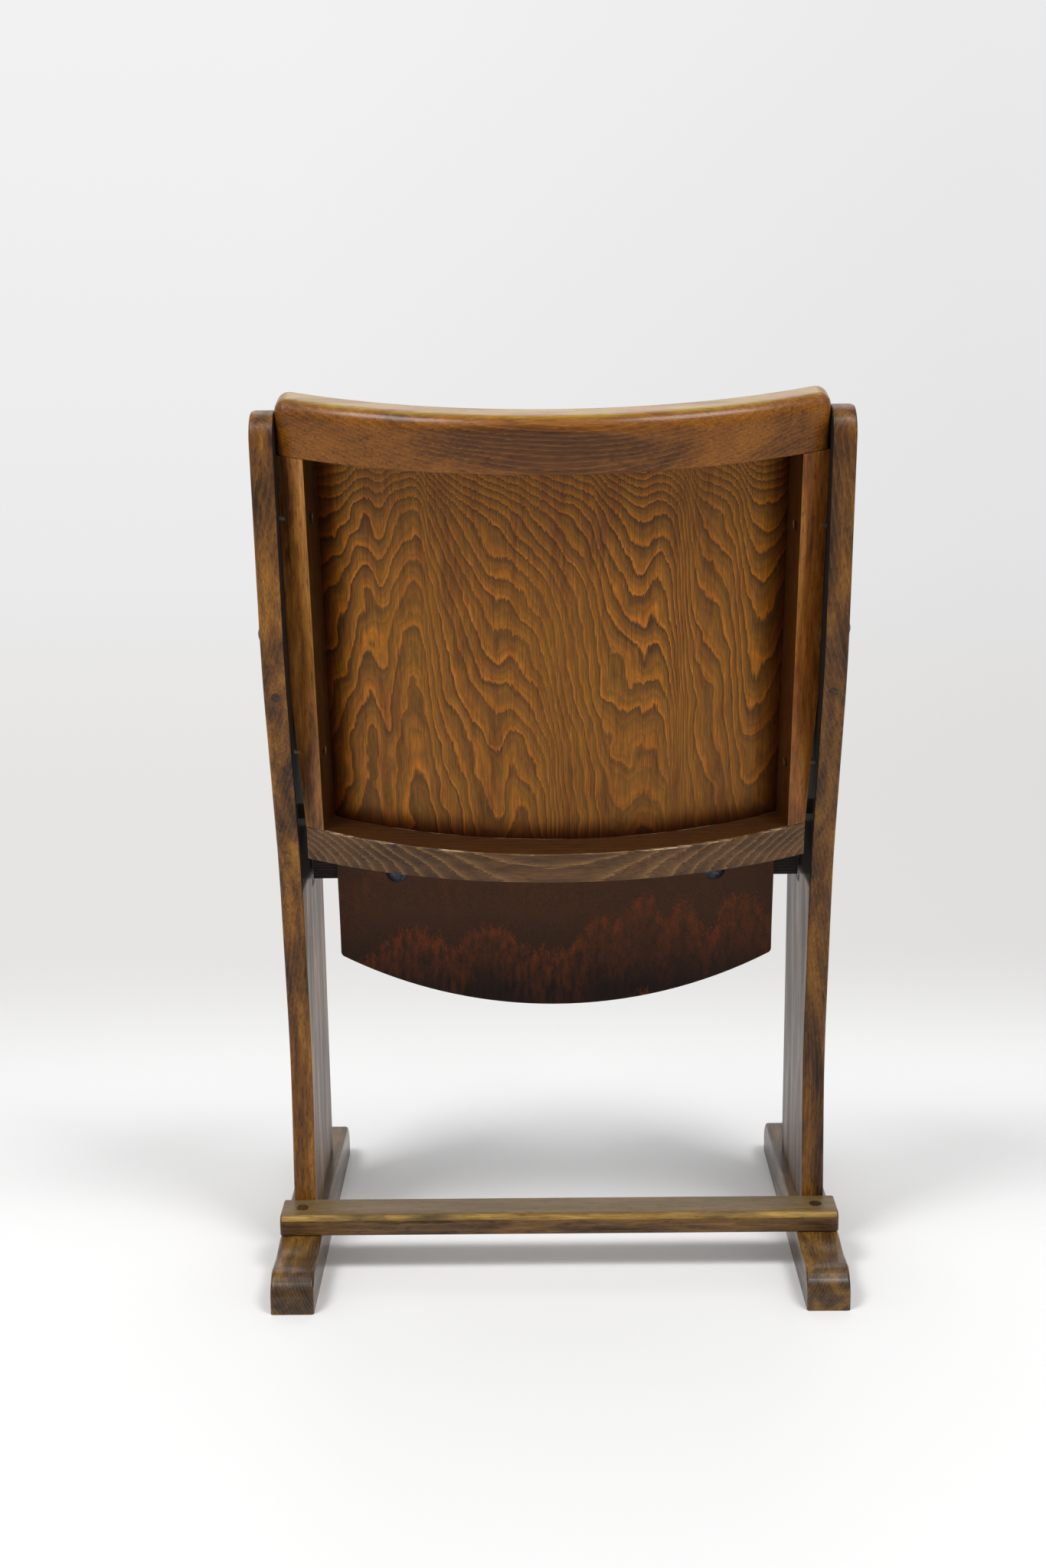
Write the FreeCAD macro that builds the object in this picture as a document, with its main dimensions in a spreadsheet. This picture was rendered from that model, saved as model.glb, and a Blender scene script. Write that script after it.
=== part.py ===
import FreeCAD, Part
import Sketcher
import math
import os
import re

# A free-standing tip-up auditorium seat in stained beech, seen at rest with its seat tipped up.
# Two side boards stand on sled feet, a bowed back frame with a plywood panel hangs between them,
# and a plywood seat turns on two steel pins in the side boards.
# Row frame: +Z up, +X to the sitter's left, +Y to the rear, floor at Z = 0, middle of the box at X = Y = 0.
# Lengths are in millimetres and angles in degrees.

SIZES = {
    "overall_width": 560.0,
    "overall_depth": 476.0,
    "foot_width": 42.0,
    "foot_height": 40.0,
    "crest_overhang": 57.0,
    "foot_nose_height": 24.0,
    "foot_nose_reach": 18.0,
    "foot_nose_round": 20.0,
    "foot_hollow": 4.5,
    "foot_edge_round": 3.0,
    "board_thickness": 22.0,
    "board_foot_width": 187.5,
    "board_front_lean": 20.0,
    "shoulder_height": 456.0,
    "shoulder_round": 55.0,
    "waist_height": 575.0,
    "waist_round": 140.0,
    "post_cover": 5.0,
    "post_lip": 13.0,
    "post_swell": 33.0,
    "post_swell_height": 622.0,
    "post_top_drop": 10.0,
    "post_top_round": 26.0,
    "bend_height": 420.0,
    "bend_behind_heel": 29.0,
    "ankle_height": 205.0,
    "ankle_inset": 10.5,
    "rear_edge_round": 420.0,
    "board_edge_round": 2.5,
    "crossbar_depth": 44.0,
    "crossbar_height": 21.5,
    "crossbar_round": 8.0,
    "heel_station": 137.5,
    "rake": 13.0,
    "back_base_height": 412.5,
    "bow_depth": 69.75913,
    "frame_depth": 38.0,
    "stile_width": 25.0,
    "stile_side_inset": 8.0,
    "bottom_rail_height": 35.5,
    "bottom_rail_arch": 5.5,
    "bottom_taper": 7.5,
    "taper_height": 130.0,
    "crest_height": 50.6,
    "crest_lift": 403.7,
    "crest_rear_round": 14.0,
    "crest_front_round": 9.0,
    "crest_corner_round": 12.0,
    "rail_edge_round": 1.5,
    "side_gap": 0.2,
    "panel_thickness": 5.0,
    "panel_lap": 8.0,
    "panel_gap": 0.2,
    "frame_dowel_radius": 4.0,
    "frame_dowel_length": 44.0,
    "wood_fit": 0.05,
    "foot_dowel_radius": 5.0,
    "foot_dowel_length": 50.0,
    "foot_dowel_front": 34.0,
    "foot_dowel_rear": 40.0,
    "bar_screw_head_radius": 5.0,
    "bar_screw_radius": 2.5,
    "bar_screw_length": 40.0,
    "bar_screw_head_depth": 3.0,
    "bar_plug_radius": 6.0,
    "bar_plug_depth": 6.0,
    "bar_plug_proud": 0.6,
    "frame_screw_head_radius": 5.0,
    "frame_screw_head_depth": 3.5,
    "frame_screw_radius": 2.5,
    "frame_screw_length": 38.0,
    "frame_screw_inset": 14.0,
    "upper_screw_rise_left": 345.0,
    "lower_screw_rise_left": 113.0,
    "upper_screw_rise_right": 333.0,
    "lower_screw_rise_right": 97.0,
    "back_bolt_head_radius": 11.0,
    "back_bolt_head_height": 6.0,
    "back_bolt_radius": 4.0,
    "back_bolt_length": 40.0,
    "back_bolt_height": 654.0,
    "back_bolt_inset": 9.0,
    "edge_plug_radius": 4.3,
    "edge_plug_length": 22.0,
    "edge_plug_proud": 0.5,
    "edge_plug_height": 597.0,
    "pivot_ahead_of_heel": 77.0,
    "pivot_height": 404.0,
    "seat_lean": 12.0,
    "seat_slope": 9.0,
    "seat_side_gap": 27.5,
    "seat_thickness": 10.0,
    "seat_front_reach": 242.0,
    "seat_rear_reach": 158.0,
    "seat_rear_bow": 60.0,
    "seat_front_bow": 12.0,
    "seat_front_corner": 30.0,
    "seat_rear_corner": 6.0,
    "seat_rim_rise": 4.0,
    "seat_rim_width": 45.0,
    "seat_front_drop": 9.0,
    "seat_front_roll": 52.0,
    "beam_width": 34.0,
    "beam_height": 38.0,
    "beam_edge_round": 2.0,
    "bearer_width": 22.0,
    "bearer_height": 20.0,
    "bearer_edge_inset": 2.5,
    "batten_width": 24.0,
    "seat_bolt_inset": 60.5,
    "seat_bolt_offset": 6.0,
    "seat_bolt_head_radius": 11.3,
    "seat_bolt_head_height": 4.5,
    "seat_bolt_radius": 4.0,
    "seat_bolt_spare": 3.0,
    "seat_washer_radius": 11.0,
    "seat_washer_thickness": 1.6,
    "seat_nut_radius": 7.5,
    "seat_nut_height": 6.5,
    "bolt_fit": 0.1,
    "pivot_pin_radius": 6.0,
    "pivot_pin_grip": 40.0,
    "pivot_pin_reach": 17.0,
    "pivot_pin_point": 1.5,
    "pivot_fit": 0.05,
    "pivot_washer_radius": 12.0,
    "pivot_washer_thickness": 1.5,
    "turning_gap": 0.3,
    "plate_length": 62.0,
    "plate_width": 32.0,
    "plate_thickness": 2.5,
    "plate_corner": 8.0,
    "plate_screw_spacing": 46.0,
    "plate_screw_radius": 1.8,
    "plate_screw_head_radius": 3.6,
    "plate_screw_head_depth": 1.8,
    "plate_screw_length": 16.0,
    "stop_width": 46.0,
    "stop_length": 48.0,
    "stop_height": 30.0,
    "stop_ahead_of_pivot": 38.5,
    "stop_edge_round": 4.0,
    "stop_pad_thickness": 3.0,
    "stop_pad_margin": 3.0,
    "stop_screw_radius": 2.5,
    "stop_screw_head_radius": 4.8,
    "stop_screw_head_depth": 3.0,
    "stop_screw_spacing": 24.0,
    "stop_screw_length": 58.0,
    "peg_radius": 4.0,
    "peg_head_radius": 6.0,
    "peg_head_thickness": 2.0,
    "peg_sleeve_radius": 7.5,
    "peg_grip": 16.0,
    "peg_reach": 38.0,
    "peg_station": 67.0,
    "seat_screw_radius": 1.8,
    "seat_screw_head_radius": 3.6,
    "seat_screw_head_depth": 2.2,
    "seat_screw_length": 26.0,
}

doc = FreeCAD.newDocument("TipUpSeat")
sheet = doc.addObject("Spreadsheet::Sheet", "Sizes")
for row, (alias, size) in enumerate(SIZES.items(), start=1):
    sheet.set(f"A{row}", alias)
    sheet.set(f"B{row}", str(size))
    sheet.setAlias(f"B{row}", alias)
doc.recompute()

WORD = re.compile(r"[a-z][a-z_]+")
NODES = []


def bound(formula):
    """Give a formula in plain size names the sheet's prefix."""
    return WORD.sub(lambda hit: f"Sizes.{hit.group()}" if hit.group() in SIZES else hit.group(), str(formula))


def number(formula):
    """Work a formula out from the sheet as it stands."""
    return float(sheet.evalExpression(bound(formula)))


def bind(item, prop, formula):
    """Tie one property of a document object to a formula."""
    item.setExpression(prop, bound(formula))


# Derived places, as formulas of the sheet's sizes
BOARD_MIDDLE = "(overall_width / 2 - foot_width / 2)"
BOARD_INNER = f"({BOARD_MIDDLE} - board_thickness / 2)"
BOARD_OUTER = f"({BOARD_MIDDLE} + board_thickness / 2)"
FOOT_FRONT = "(-overall_depth / 2)"
FOOT_REAR = "(overall_depth / 2 - crest_overhang)"
HEEL = f"({FOOT_REAR} - heel_station)"
BAR_REAR = f"({HEEL} + crossbar_depth)"
CREST_TOP = "(crest_lift + crest_height)"
SIN_RAKE = "sin(rake * 1deg)"
COS_RAKE = "cos(rake * 1deg)"
BACK_Y = (
    f"(overall_depth / 2 - ({CREST_TOP} - crest_rear_round) * {SIN_RAKE}"
    f" - crest_rear_round * (1 - {COS_RAKE}))"
)
FRAME_HALF = f"({BOARD_INNER} - side_gap)"
BOW_RADIUS = f"(({FRAME_HALF} ^ 2 + bow_depth ^ 2) / (2 * bow_depth))"
STILE_INNER = f"({FRAME_HALF} - stile_width)"
PIVOT_Y = f"({HEEL} - pivot_ahead_of_heel)"
BEAM_HALF = f"({BOARD_INNER} - turning_gap - pivot_washer_thickness)"
SEAT_TOP = "(beam_height / 2 + seat_thickness)"
SEAT_UNDER = "(beam_height / 2)"


def bow(half_width, depth="0"):
    """How far forward of the bow's rearmost line an arc lies, at a distance from the middle and a depth."""
    return f"({BOW_RADIUS} - sqrt(({BOW_RADIUS} - ({depth})) ^ 2 - ({half_width}) ^ 2))"


def back_place(forward, rise):
    """Row-frame Y and Z of a point in the raked back: forward of its rear face, and up its slope."""
    y_place = f"({BACK_Y} - ({forward}) * {COS_RAKE} + ({rise}) * {SIN_RAKE})"
    z_place = f"(back_base_height + ({forward}) * {SIN_RAKE} + ({rise}) * {COS_RAKE})"
    return y_place, z_place


def seat_place(angle, along, above):
    """Row-frame Y and Z of a point of the seat: rearward of its pivot and above it, at a slope angle."""
    sine = f"sin(({angle}) * 1deg)"
    cosine = f"cos(({angle}) * 1deg)"
    y_place = f"({PIVOT_Y} + ({along}) * {cosine} + ({above}) * {sine})"
    z_place = f"(pivot_height - ({along}) * {sine} + ({above}) * {cosine})"
    return y_place, z_place


def plane_of(body, role):
    """A body's own origin plane."""
    return [item for item in body.Origin.OriginFeatures if item.Role == role][0]


def new_body(label):
    """An empty body that becomes one node."""
    body = doc.addObject("PartDesign::Body", label)
    body.Label = label
    NODES.append(body)
    return body


def sketch_on(body, name, role, offset="0"):
    """An empty sketch on an origin plane, moved along the plane's normal."""
    sketch = body.newObject("Sketcher::SketchObject", name)
    sketch.AttachmentSupport = (plane_of(body, role), [""])
    sketch.MapMode = "FlatFace"
    if offset != "0":
        bind(sketch, "AttachmentOffset.Base.z", offset)
    return sketch


def outline(body, name, role, corners, arcs=None, offset="0"):
    """A closed sketch through corners given as formulas.

    arcs maps the index of a side to (radius formula, turn): turn 1 bends to the left of travel, -1 to the right.
    """
    sketch = sketch_on(body, name, role, offset)
    arcs = arcs or {}
    places = [FreeCAD.Vector(number(x), number(y), 0) for x, y in corners]
    count = len(corners)
    start_of = {}
    end_of = {}
    for side in range(count):
        first = places[side]
        last = places[(side + 1) % count]
        if side in arcs:
            radius = number(arcs[side][0])
            turn = arcs[side][1]
            chord = last - first
            across = FreeCAD.Vector(-chord.y, chord.x, 0).normalize() * turn
            centre = (first + last) * 0.5 + across * math.sqrt(radius ** 2 - (chord.Length / 2) ** 2)
            begin, finish = (first, last) if turn > 0 else (last, first)
            from_angle = math.atan2(begin.y - centre.y, begin.x - centre.x)
            to_angle = math.atan2(finish.y - centre.y, finish.x - centre.x)
            circle = Part.Circle(centre, FreeCAD.Vector(0, 0, 1), radius)
            edge = sketch.addGeometry(Part.ArcOfCircle(circle, from_angle, to_angle), False)
            start_of[side], end_of[side] = (1, 2) if turn > 0 else (2, 1)
        else:
            edge = sketch.addGeometry(Part.LineSegment(first, last), False)
            start_of[side], end_of[side] = 1, 2
        assert edge == side
    for side in range(count):
        after = (side + 1) % count
        sketch.addConstraint(Sketcher.Constraint("Coincident", side, end_of[side], after, start_of[after]))
    for side, (x_place, y_place) in enumerate(corners):
        for kind, formula, place in (("DistanceX", x_place, places[side].x), ("DistanceY", y_place, places[side].y)):
            index = sketch.addConstraint(Sketcher.Constraint(kind, -1, 1, side, start_of[side], place))
            bind(sketch, f"Constraints[{index}]", formula)
    for side, (radius, turn) in arcs.items():
        index = sketch.addConstraint(Sketcher.Constraint("Radius", side, number(radius)))
        bind(sketch, f"Constraints[{index}]", radius)
    return sketch


def pad(body, name, sketch, length):
    """Extrude a sketch along its plane's normal."""
    feature = body.newObject("PartDesign::Pad", name)
    feature.Profile = sketch
    bind(feature, "Length", length)
    sketch.Visibility = False
    doc.recompute()
    return feature


def pocket(body, name, sketch):
    """Cut a sketch right through the body both ways, and make sure that it took something away."""
    before = body.Shape.Volume
    feature = body.newObject("PartDesign::Pocket", name)
    feature.Profile = sketch
    feature.Type = "ThroughAll"
    feature.Midplane = True
    sketch.Visibility = False
    doc.recompute()
    assert body.Shape.Volume < before - 1.0, f"{name} cut nothing"
    return feature


def nearest_edges(shape, points):
    """Names of the edges whose middles lie nearest to the points."""
    names = []
    for point in points:
        place = FreeCAD.Vector(*[number(value) for value in point])
        gaps = [edge.distToShape(Part.Vertex(place))[0] for edge in shape.Edges]
        names.append(f"Edge{gaps.index(min(gaps)) + 1}")
    return names


def sink(body, name, sketch, depth, along_normal=False):
    """Cut a sketch into the body to a depth, against its plane's normal unless told otherwise."""
    before = body.Shape.Volume
    feature = body.newObject("PartDesign::Pocket", name)
    feature.Profile = sketch
    feature.Type = "Length"
    feature.Reversed = along_normal
    bind(feature, "Length", depth)
    sketch.Visibility = False
    doc.recompute()
    assert body.Shape.Volume < before - 1.0, f"{name} cut nothing"
    return feature


def round_edges(body, name, points, radius):
    """Fillet the edges that pass through the points."""
    base = body.Tip
    feature = body.newObject("PartDesign::Fillet", name)
    feature.Base = (base, nearest_edges(base.Shape, points))
    bind(feature, "Radius", radius)
    doc.recompute()
    return feature


def cut_cylinder(body, name, radius, length, place, axis):
    """Bore a round hole that starts at a place and runs along an axis."""
    before = body.Shape.Volume
    feature = body.newObject("PartDesign::SubtractiveCylinder", name)
    bind(feature, "Radius", radius)
    bind(feature, "Height", length)
    set_place(feature, place, axis)
    doc.recompute()
    assert body.Shape.Volume < before - 0.01, f"{name} bored nothing"
    return feature


def set_place(item, place, axis=(0, 0, 1)):
    """Put a document object at a place given as formulas, with its own +Z along an axis."""
    item.Placement = FreeCAD.Placement(
        FreeCAD.Vector(), FreeCAD.Rotation(FreeCAD.Vector(0, 0, 1), FreeCAD.Vector(*axis))
    )
    for letter, formula in zip("xyz", place):
        bind(item, f"Placement.Base.{letter}", formula)


def lean_body(body, place, angle):
    """Move a body to a place and turn it about X, so that its +Z leans to the rear by an angle."""
    body.Placement = FreeCAD.Placement(FreeCAD.Vector(), FreeCAD.Rotation(FreeCAD.Vector(-1, 0, 0), 1))
    for letter, formula in zip("xyz", place):
        bind(body, f"Placement.Base.{letter}", formula)
    bind(body, "Placement.Rotation.Angle", f"({angle}) * 1deg")


BACK_BASE = ("0", BACK_Y, "back_base_height")
SEAT_BASE = ("0", PIVOT_Y, "pivot_height")
SEAT_TURN = "90 + seat_lean"


def turned(name, steps, place, axis):
    """A round piece along an axis, as a row of steps: start, length, radius, end radius."""
    parts = []
    for index, (start, length, radius, end_radius) in enumerate(steps):
        if radius == end_radius:
            item = doc.addObject("Part::Cylinder", f"{name}Round{index}")
            bind(item, "Radius", radius)
        else:
            item = doc.addObject("Part::Cone", f"{name}Taper{index}")
            bind(item, "Radius1", radius)
            bind(item, "Radius2", end_radius)
        bind(item, "Height", length)
        bind(item, "Placement.Base.z", start)
        parts.append(item)
    if len(parts) == 1:
        piece = parts[0]
        assert steps[0][0] == "0", "a single step starts at its own place"
    else:
        piece = doc.addObject("Part::MultiFuse", name)
        piece.Shapes = parts
    set_place(piece, place, axis)
    return piece


def domed(name, head_radius, head_height, shank_radius, shank_length, place, axis):
    """A round-headed bolt: its head's flat underside is at the place and its dome points along the axis."""
    ball = f"(({head_radius} ^ 2 + {head_height} ^ 2) / (2 * {head_height}))"
    dome = doc.addObject("Part::Sphere", f"{name}Dome")
    bind(dome, "Radius", ball)
    bind(dome, "Angle1", f"asin(({ball} - {head_height}) / {ball})")
    bind(dome, "Placement.Base.z", f"-({ball} - {head_height})")
    shank = doc.addObject("Part::Cylinder", f"{name}Shank")
    bind(shank, "Radius", shank_radius)
    bind(shank, "Height", f"{shank_length} + {head_height} / 2")
    bind(shank, "Placement.Base.z", f"-({shank_length})")
    piece = doc.addObject("Part::MultiFuse", name)
    piece.Shapes = [dome, shank]
    set_place(piece, place, axis)
    return piece


def group(label, pieces):
    """Separate solids that share one node."""
    compound = doc.addObject("Part::Compound", label)
    compound.Label = label
    compound.Links = pieces
    NODES.append(compound)
    return compound


def plane_edges(shape, axis, formula, above=None):
    """Names of the edges that lie in a plane square to an axis, all of them higher than a height."""
    level = number(formula)
    names = []
    for index, edge in enumerate(shape.Edges, start=1):
        box = edge.BoundBox
        low, high = ((box.XMin, box.XMax), (box.YMin, box.YMax), (box.ZMin, box.ZMax))[axis]
        flat = abs(low - level) < 0.01 and abs(high - level) < 0.01
        if flat and (above is None or box.ZMin > number(above) - 0.01 and box.ZMax > number(above) + 0.01):
            names.append(f"Edge{index}")
    return names


def round_rims(body, name, levels, radius, above=None):
    """Fillet the rims of a board on its faces square to X."""
    base = body.Tip
    names = []
    for level in levels:
        names += plane_edges(base.Shape, 0, level, above)
    feature = body.newObject("PartDesign::Fillet", name)
    feature.Base = (base, names)
    bind(feature, "Radius", radius)
    doc.recompute()
    return feature


def side_start(side, low, high):
    """The X at which an extrusion along +X starts, for a piece between two distances from the middle."""
    return low if side > 0 else f"(-{high})"


SIDES = (("left", 1), ("right", -1))


def frame_edge_y(height, depth):
    """Row-frame Y of the back frame's outer corner at a height: its rear corner at depth 0."""
    forward = bow(FRAME_HALF, depth)
    rise = f"(({height} - back_base_height - {forward} * {SIN_RAKE}) / {COS_RAKE})"
    return f"({BACK_Y} - {forward} * {COS_RAKE} + {rise} * {SIN_RAKE})"


POST_TOP = f"(back_base_height + {bow(FRAME_HALF)} * {SIN_RAKE} + {CREST_TOP} * {COS_RAKE} - post_top_drop)"
SCREW_FORWARD = f"({bow(STILE_INNER)} + frame_screw_inset)"
SCREW_FACE = f"({STILE_INNER} - stile_side_inset / 2)"
BACK_BOLT_Y = f"({frame_edge_y('back_bolt_height', '0')} - back_bolt_inset)"
SEAT_UP = "(90 + seat_lean)"
PEG_PLACE = seat_place(SEAT_UP, "-peg_station", f"{SEAT_TOP} + turning_gap + peg_sleeve_radius")
BEND_Y = f"({HEEL} + bend_behind_heel)"
SWELL_Y = f"({frame_edge_y('post_swell_height', '0')} + post_swell)"
PLUG_PART = "((edge_plug_height - bend_height) / (post_swell_height - bend_height))"
PLUG_Y = f"({BEND_Y} + ({SWELL_Y} - {BEND_Y}) * {PLUG_PART} + edge_plug_proud)"
TOE = f"({HEEL} - board_foot_width)"
FOOT_DOWELS = (f"({TOE} + foot_dowel_front)", f"({HEEL} - foot_dowel_rear)")
STOP_REAR = f"({PIVOT_Y} - stop_ahead_of_pivot)"
STOP_FRONT = f"({STOP_REAR} - stop_length)"
BEARER_UNDER = f"({SEAT_UNDER} - bearer_height)"
SEAT_HALF = f"({BOARD_INNER} - seat_side_gap)"
BOLT_X = f"({SEAT_HALF} - seat_bolt_inset)"
BEARER_OUTER = f"({SEAT_HALF} - bearer_edge_inset)"
BATTEN_FRONT = "(seat_front_reach - seat_front_roll)"


def lowered_under(station):
    """Row-frame Z of the lowered seat's bearers at a row-frame Y."""
    return (
        f"(pivot_height - ({station} - {PIVOT_Y}) * tan(seat_slope * 1deg)"
        f" + {BEARER_UNDER} / cos(seat_slope * 1deg))"
    )


def stop_top(station):
    """Row-frame Z of a stop block's sloping top, which leaves room for its pad."""
    return f"({lowered_under(station)} - turning_gap - stop_pad_thickness)"


def plug_axis():
    """The direction square to the board's rear edge, and into the board, where its plug sits."""
    run = FreeCAD.Vector(0, number(SWELL_Y) - number(BEND_Y), number("post_swell_height - bend_height"))
    return tuple(run.cross(FreeCAD.Vector(-1, 0, 0)).normalize())


def back_local(station, height):
    """A row-frame Y and Z, told in the raked back's own Y and Z."""
    ahead = f"({station} - {BACK_Y})"
    above = f"({height} - back_base_height)"
    return f"({ahead} * {COS_RAKE} - {above} * {SIN_RAKE})", f"({ahead} * {SIN_RAKE} + {above} * {COS_RAKE})"


def stop_screw_place(turn):
    """Row-frame Y and Z of one of the two screws in a stop block."""
    station = f"(({STOP_FRONT} + {STOP_REAR}) / 2 + {turn} * stop_screw_spacing / 2)"
    return station, f"({stop_top(STOP_FRONT)} - stop_height / 2)"


def rounded_rectangle(middle_y, middle_z, width, height, radius):
    """Corners and arcs of a rectangle with round corners."""
    left, right = f"({middle_y} - {width} / 2)", f"({middle_y} + {width} / 2)"
    low, high = f"({middle_z} - {height} / 2)", f"({middle_z} + {height} / 2)"
    corners = [
        (f"{left} + {radius}", low),
        (f"{right} - {radius}", low),
        (right, f"{low} + {radius}"),
        (right, f"{high} - {radius}"),
        (f"{right} - {radius}", high),
        (f"{left} + {radius}", high),
        (left, f"{high} - {radius}"),
        (left, f"{low} + {radius}"),
    ]
    return corners, {index: (radius, 1) for index in (1, 3, 5, 7)}


def add_foot(name, side):
    """A sled foot: flat below, blunt in front, with a rounded nose behind a shallow hollow."""
    body = new_body(f"foot_{name}")
    low = f"({BOARD_MIDDLE} - foot_width / 2)"
    high = f"({BOARD_MIDDLE} + foot_width / 2)"
    rear_crown = (f"({FOOT_REAR} - foot_nose_reach)", "foot_height - foot_hollow / 3")
    hollow = (f"(({FOOT_REAR} - foot_nose_reach + {BAR_REAR}) / 2)", "foot_height - foot_hollow")
    front_crown = (f"({FOOT_FRONT} + foot_nose_reach)", "foot_height")
    corners = [
        (FOOT_FRONT, "0"),
        (FOOT_REAR, "0"),
        (FOOT_REAR, "foot_nose_height"),
        rear_crown,
        hollow,
        (BAR_REAR, "foot_height"),
        front_crown,
        (FOOT_FRONT, "foot_nose_height"),
    ]
    sketch = outline(body, f"FootSide{name}", "YZ_Plane", corners, offset=side_start(side, low, high))
    pad(body, f"FootBlank{name}", sketch, "foot_width")
    middle = f"({side} * {BOARD_MIDDLE})"
    noses = [(middle, *corners[index]) for index in (2, 3, 6, 7)]
    round_edges(body, f"FootNoses{name}", noses, "foot_nose_round")
    round_edges(body, f"FootHollow{name}", [(middle, *hollow)], "foot_nose_round * 3")
    levels = (f"{side} * {low}", f"{side} * {high}")
    round_rims(body, f"FootRims{name}", levels, "foot_edge_round", above="0.5")
    for index, station in enumerate(FOOT_DOWELS):
        place = (middle, station, "foot_height - foot_dowel_length / 2")
        cut_cylinder(body, f"FootDowelBore{name}{index}", "foot_dowel_radius + wood_fit",
                     "foot_dowel_length", place, (0, 0, 1))
    place = (middle, f"({HEEL} + crossbar_depth / 2)",
             "foot_height + crossbar_height - bar_plug_depth - bar_screw_length")
    cut_cylinder(body, f"FootScrewBore{name}", "bar_screw_radius + wood_fit", "bar_screw_length", place, (0, 0, 1))


def add_board(name, side):
    """A side board: deep below the seat, swept back at the shoulder into a raked post with a round top."""
    body = new_body(f"side_board_{name}")
    swell = (f"({frame_edge_y('post_swell_height', '0')} + post_swell)", "post_swell_height")
    top_rear = (f"({frame_edge_y(POST_TOP, '0')} + post_lip)", POST_TOP)
    top_front = (f"({frame_edge_y(POST_TOP, 'frame_depth')} - post_cover)", POST_TOP)
    waist = (f"({frame_edge_y('waist_height', 'frame_depth')} - post_cover)", "waist_height")
    shoulder = (f"({TOE} + board_front_lean)", "shoulder_height")
    ankle = (f"({HEEL} - ankle_inset)", "ankle_height")
    bend = (f"({HEEL} + bend_behind_heel)", "bend_height")
    corners = [(TOE, "foot_height"), (HEEL, "foot_height"), ankle, bend, swell, top_rear, top_front, waist, shoulder]
    offset = side_start(side, BOARD_INNER, BOARD_OUTER)
    sketch = outline(body, f"BoardSide{name}", "YZ_Plane", corners, offset=offset)
    pad(body, f"BoardBlank{name}", sketch, "board_thickness")
    middle = f"({side} * {BOARD_MIDDLE})"
    round_edges(body, f"BoardTop{name}", [(middle, *top_rear), (middle, *top_front)], "post_top_round")
    round_edges(body, f"BoardRear{name}", [(middle, *ankle), (middle, *bend), (middle, *swell)], "rear_edge_round")
    round_edges(body, f"BoardWaist{name}", [(middle, *waist)], "waist_round")
    round_edges(body, f"BoardShoulder{name}", [(middle, *shoulder)], "shoulder_round")
    levels = (f"{side} * {BOARD_INNER}", f"{side} * {BOARD_OUTER}")
    round_rims(body, f"BoardRims{name}", levels, "board_edge_round", above="foot_height")
    for index, station in enumerate(FOOT_DOWELS):
        cut_cylinder(body, f"BoardDowelBore{name}{index}", "foot_dowel_radius + wood_fit",
                     "foot_dowel_length / 2", (middle, station, "foot_height"), (0, 0, 1))
    inner = f"({side} * {BOARD_INNER})"
    for level in ("upper", "lower"):
        y_place, z_place = back_place(SCREW_FORWARD, f"{level}_screw_rise_{name}")
        cut_cylinder(body, f"BoardScrewBore{name}{level}", "frame_screw_radius + wood_fit",
                     "frame_screw_length - stile_width", (inner, y_place, z_place), (side, 0, 0))
    cut_cylinder(body, f"BoardBoltBore{name}", "back_bolt_radius + wood_fit", "board_thickness",
                 (inner, BACK_BOLT_Y, "back_bolt_height"), (side, 0, 0))
    plug_start = (middle, PLUG_Y, "edge_plug_height")
    cut_cylinder(body, f"BoardPlugBore{name}", "edge_plug_radius + wood_fit", "edge_plug_length",
                 plug_start, plug_axis())
    recess, arcs = rounded_rectangle(PIVOT_Y, "pivot_height", "plate_width", "plate_length", "plate_corner")
    sketch = outline(body, f"BoardPlateRecess{name}", "YZ_Plane", recess, arcs, offset=inner)
    sink(body, f"BoardPlateSeat{name}", sketch, "plate_thickness", side > 0)
    cut_cylinder(body, f"BoardPivotBore{name}", "pivot_pin_radius + pivot_fit", "pivot_pin_reach + turning_gap",
                 (inner, PIVOT_Y, "pivot_height"), (side, 0, 0))
    cut_cylinder(body, f"BoardPegBore{name}", "peg_radius", "peg_grip", (inner, *PEG_PLACE), (side, 0, 0))
    for index, turn in enumerate((-1, 1)):
        height = f"(pivot_height + {turn} * plate_screw_spacing / 2)"
        cut_cylinder(body, f"BoardPlateScrew{name}{index}", "plate_screw_radius", "plate_screw_length",
                     (inner, PIVOT_Y, height), (side, 0, 0))
        cut_cylinder(body, f"BoardStopScrew{name}{index}", "stop_screw_radius", "stop_screw_length - stop_width",
                     (inner, *stop_screw_place(turn)), (side, 0, 0))


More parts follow.
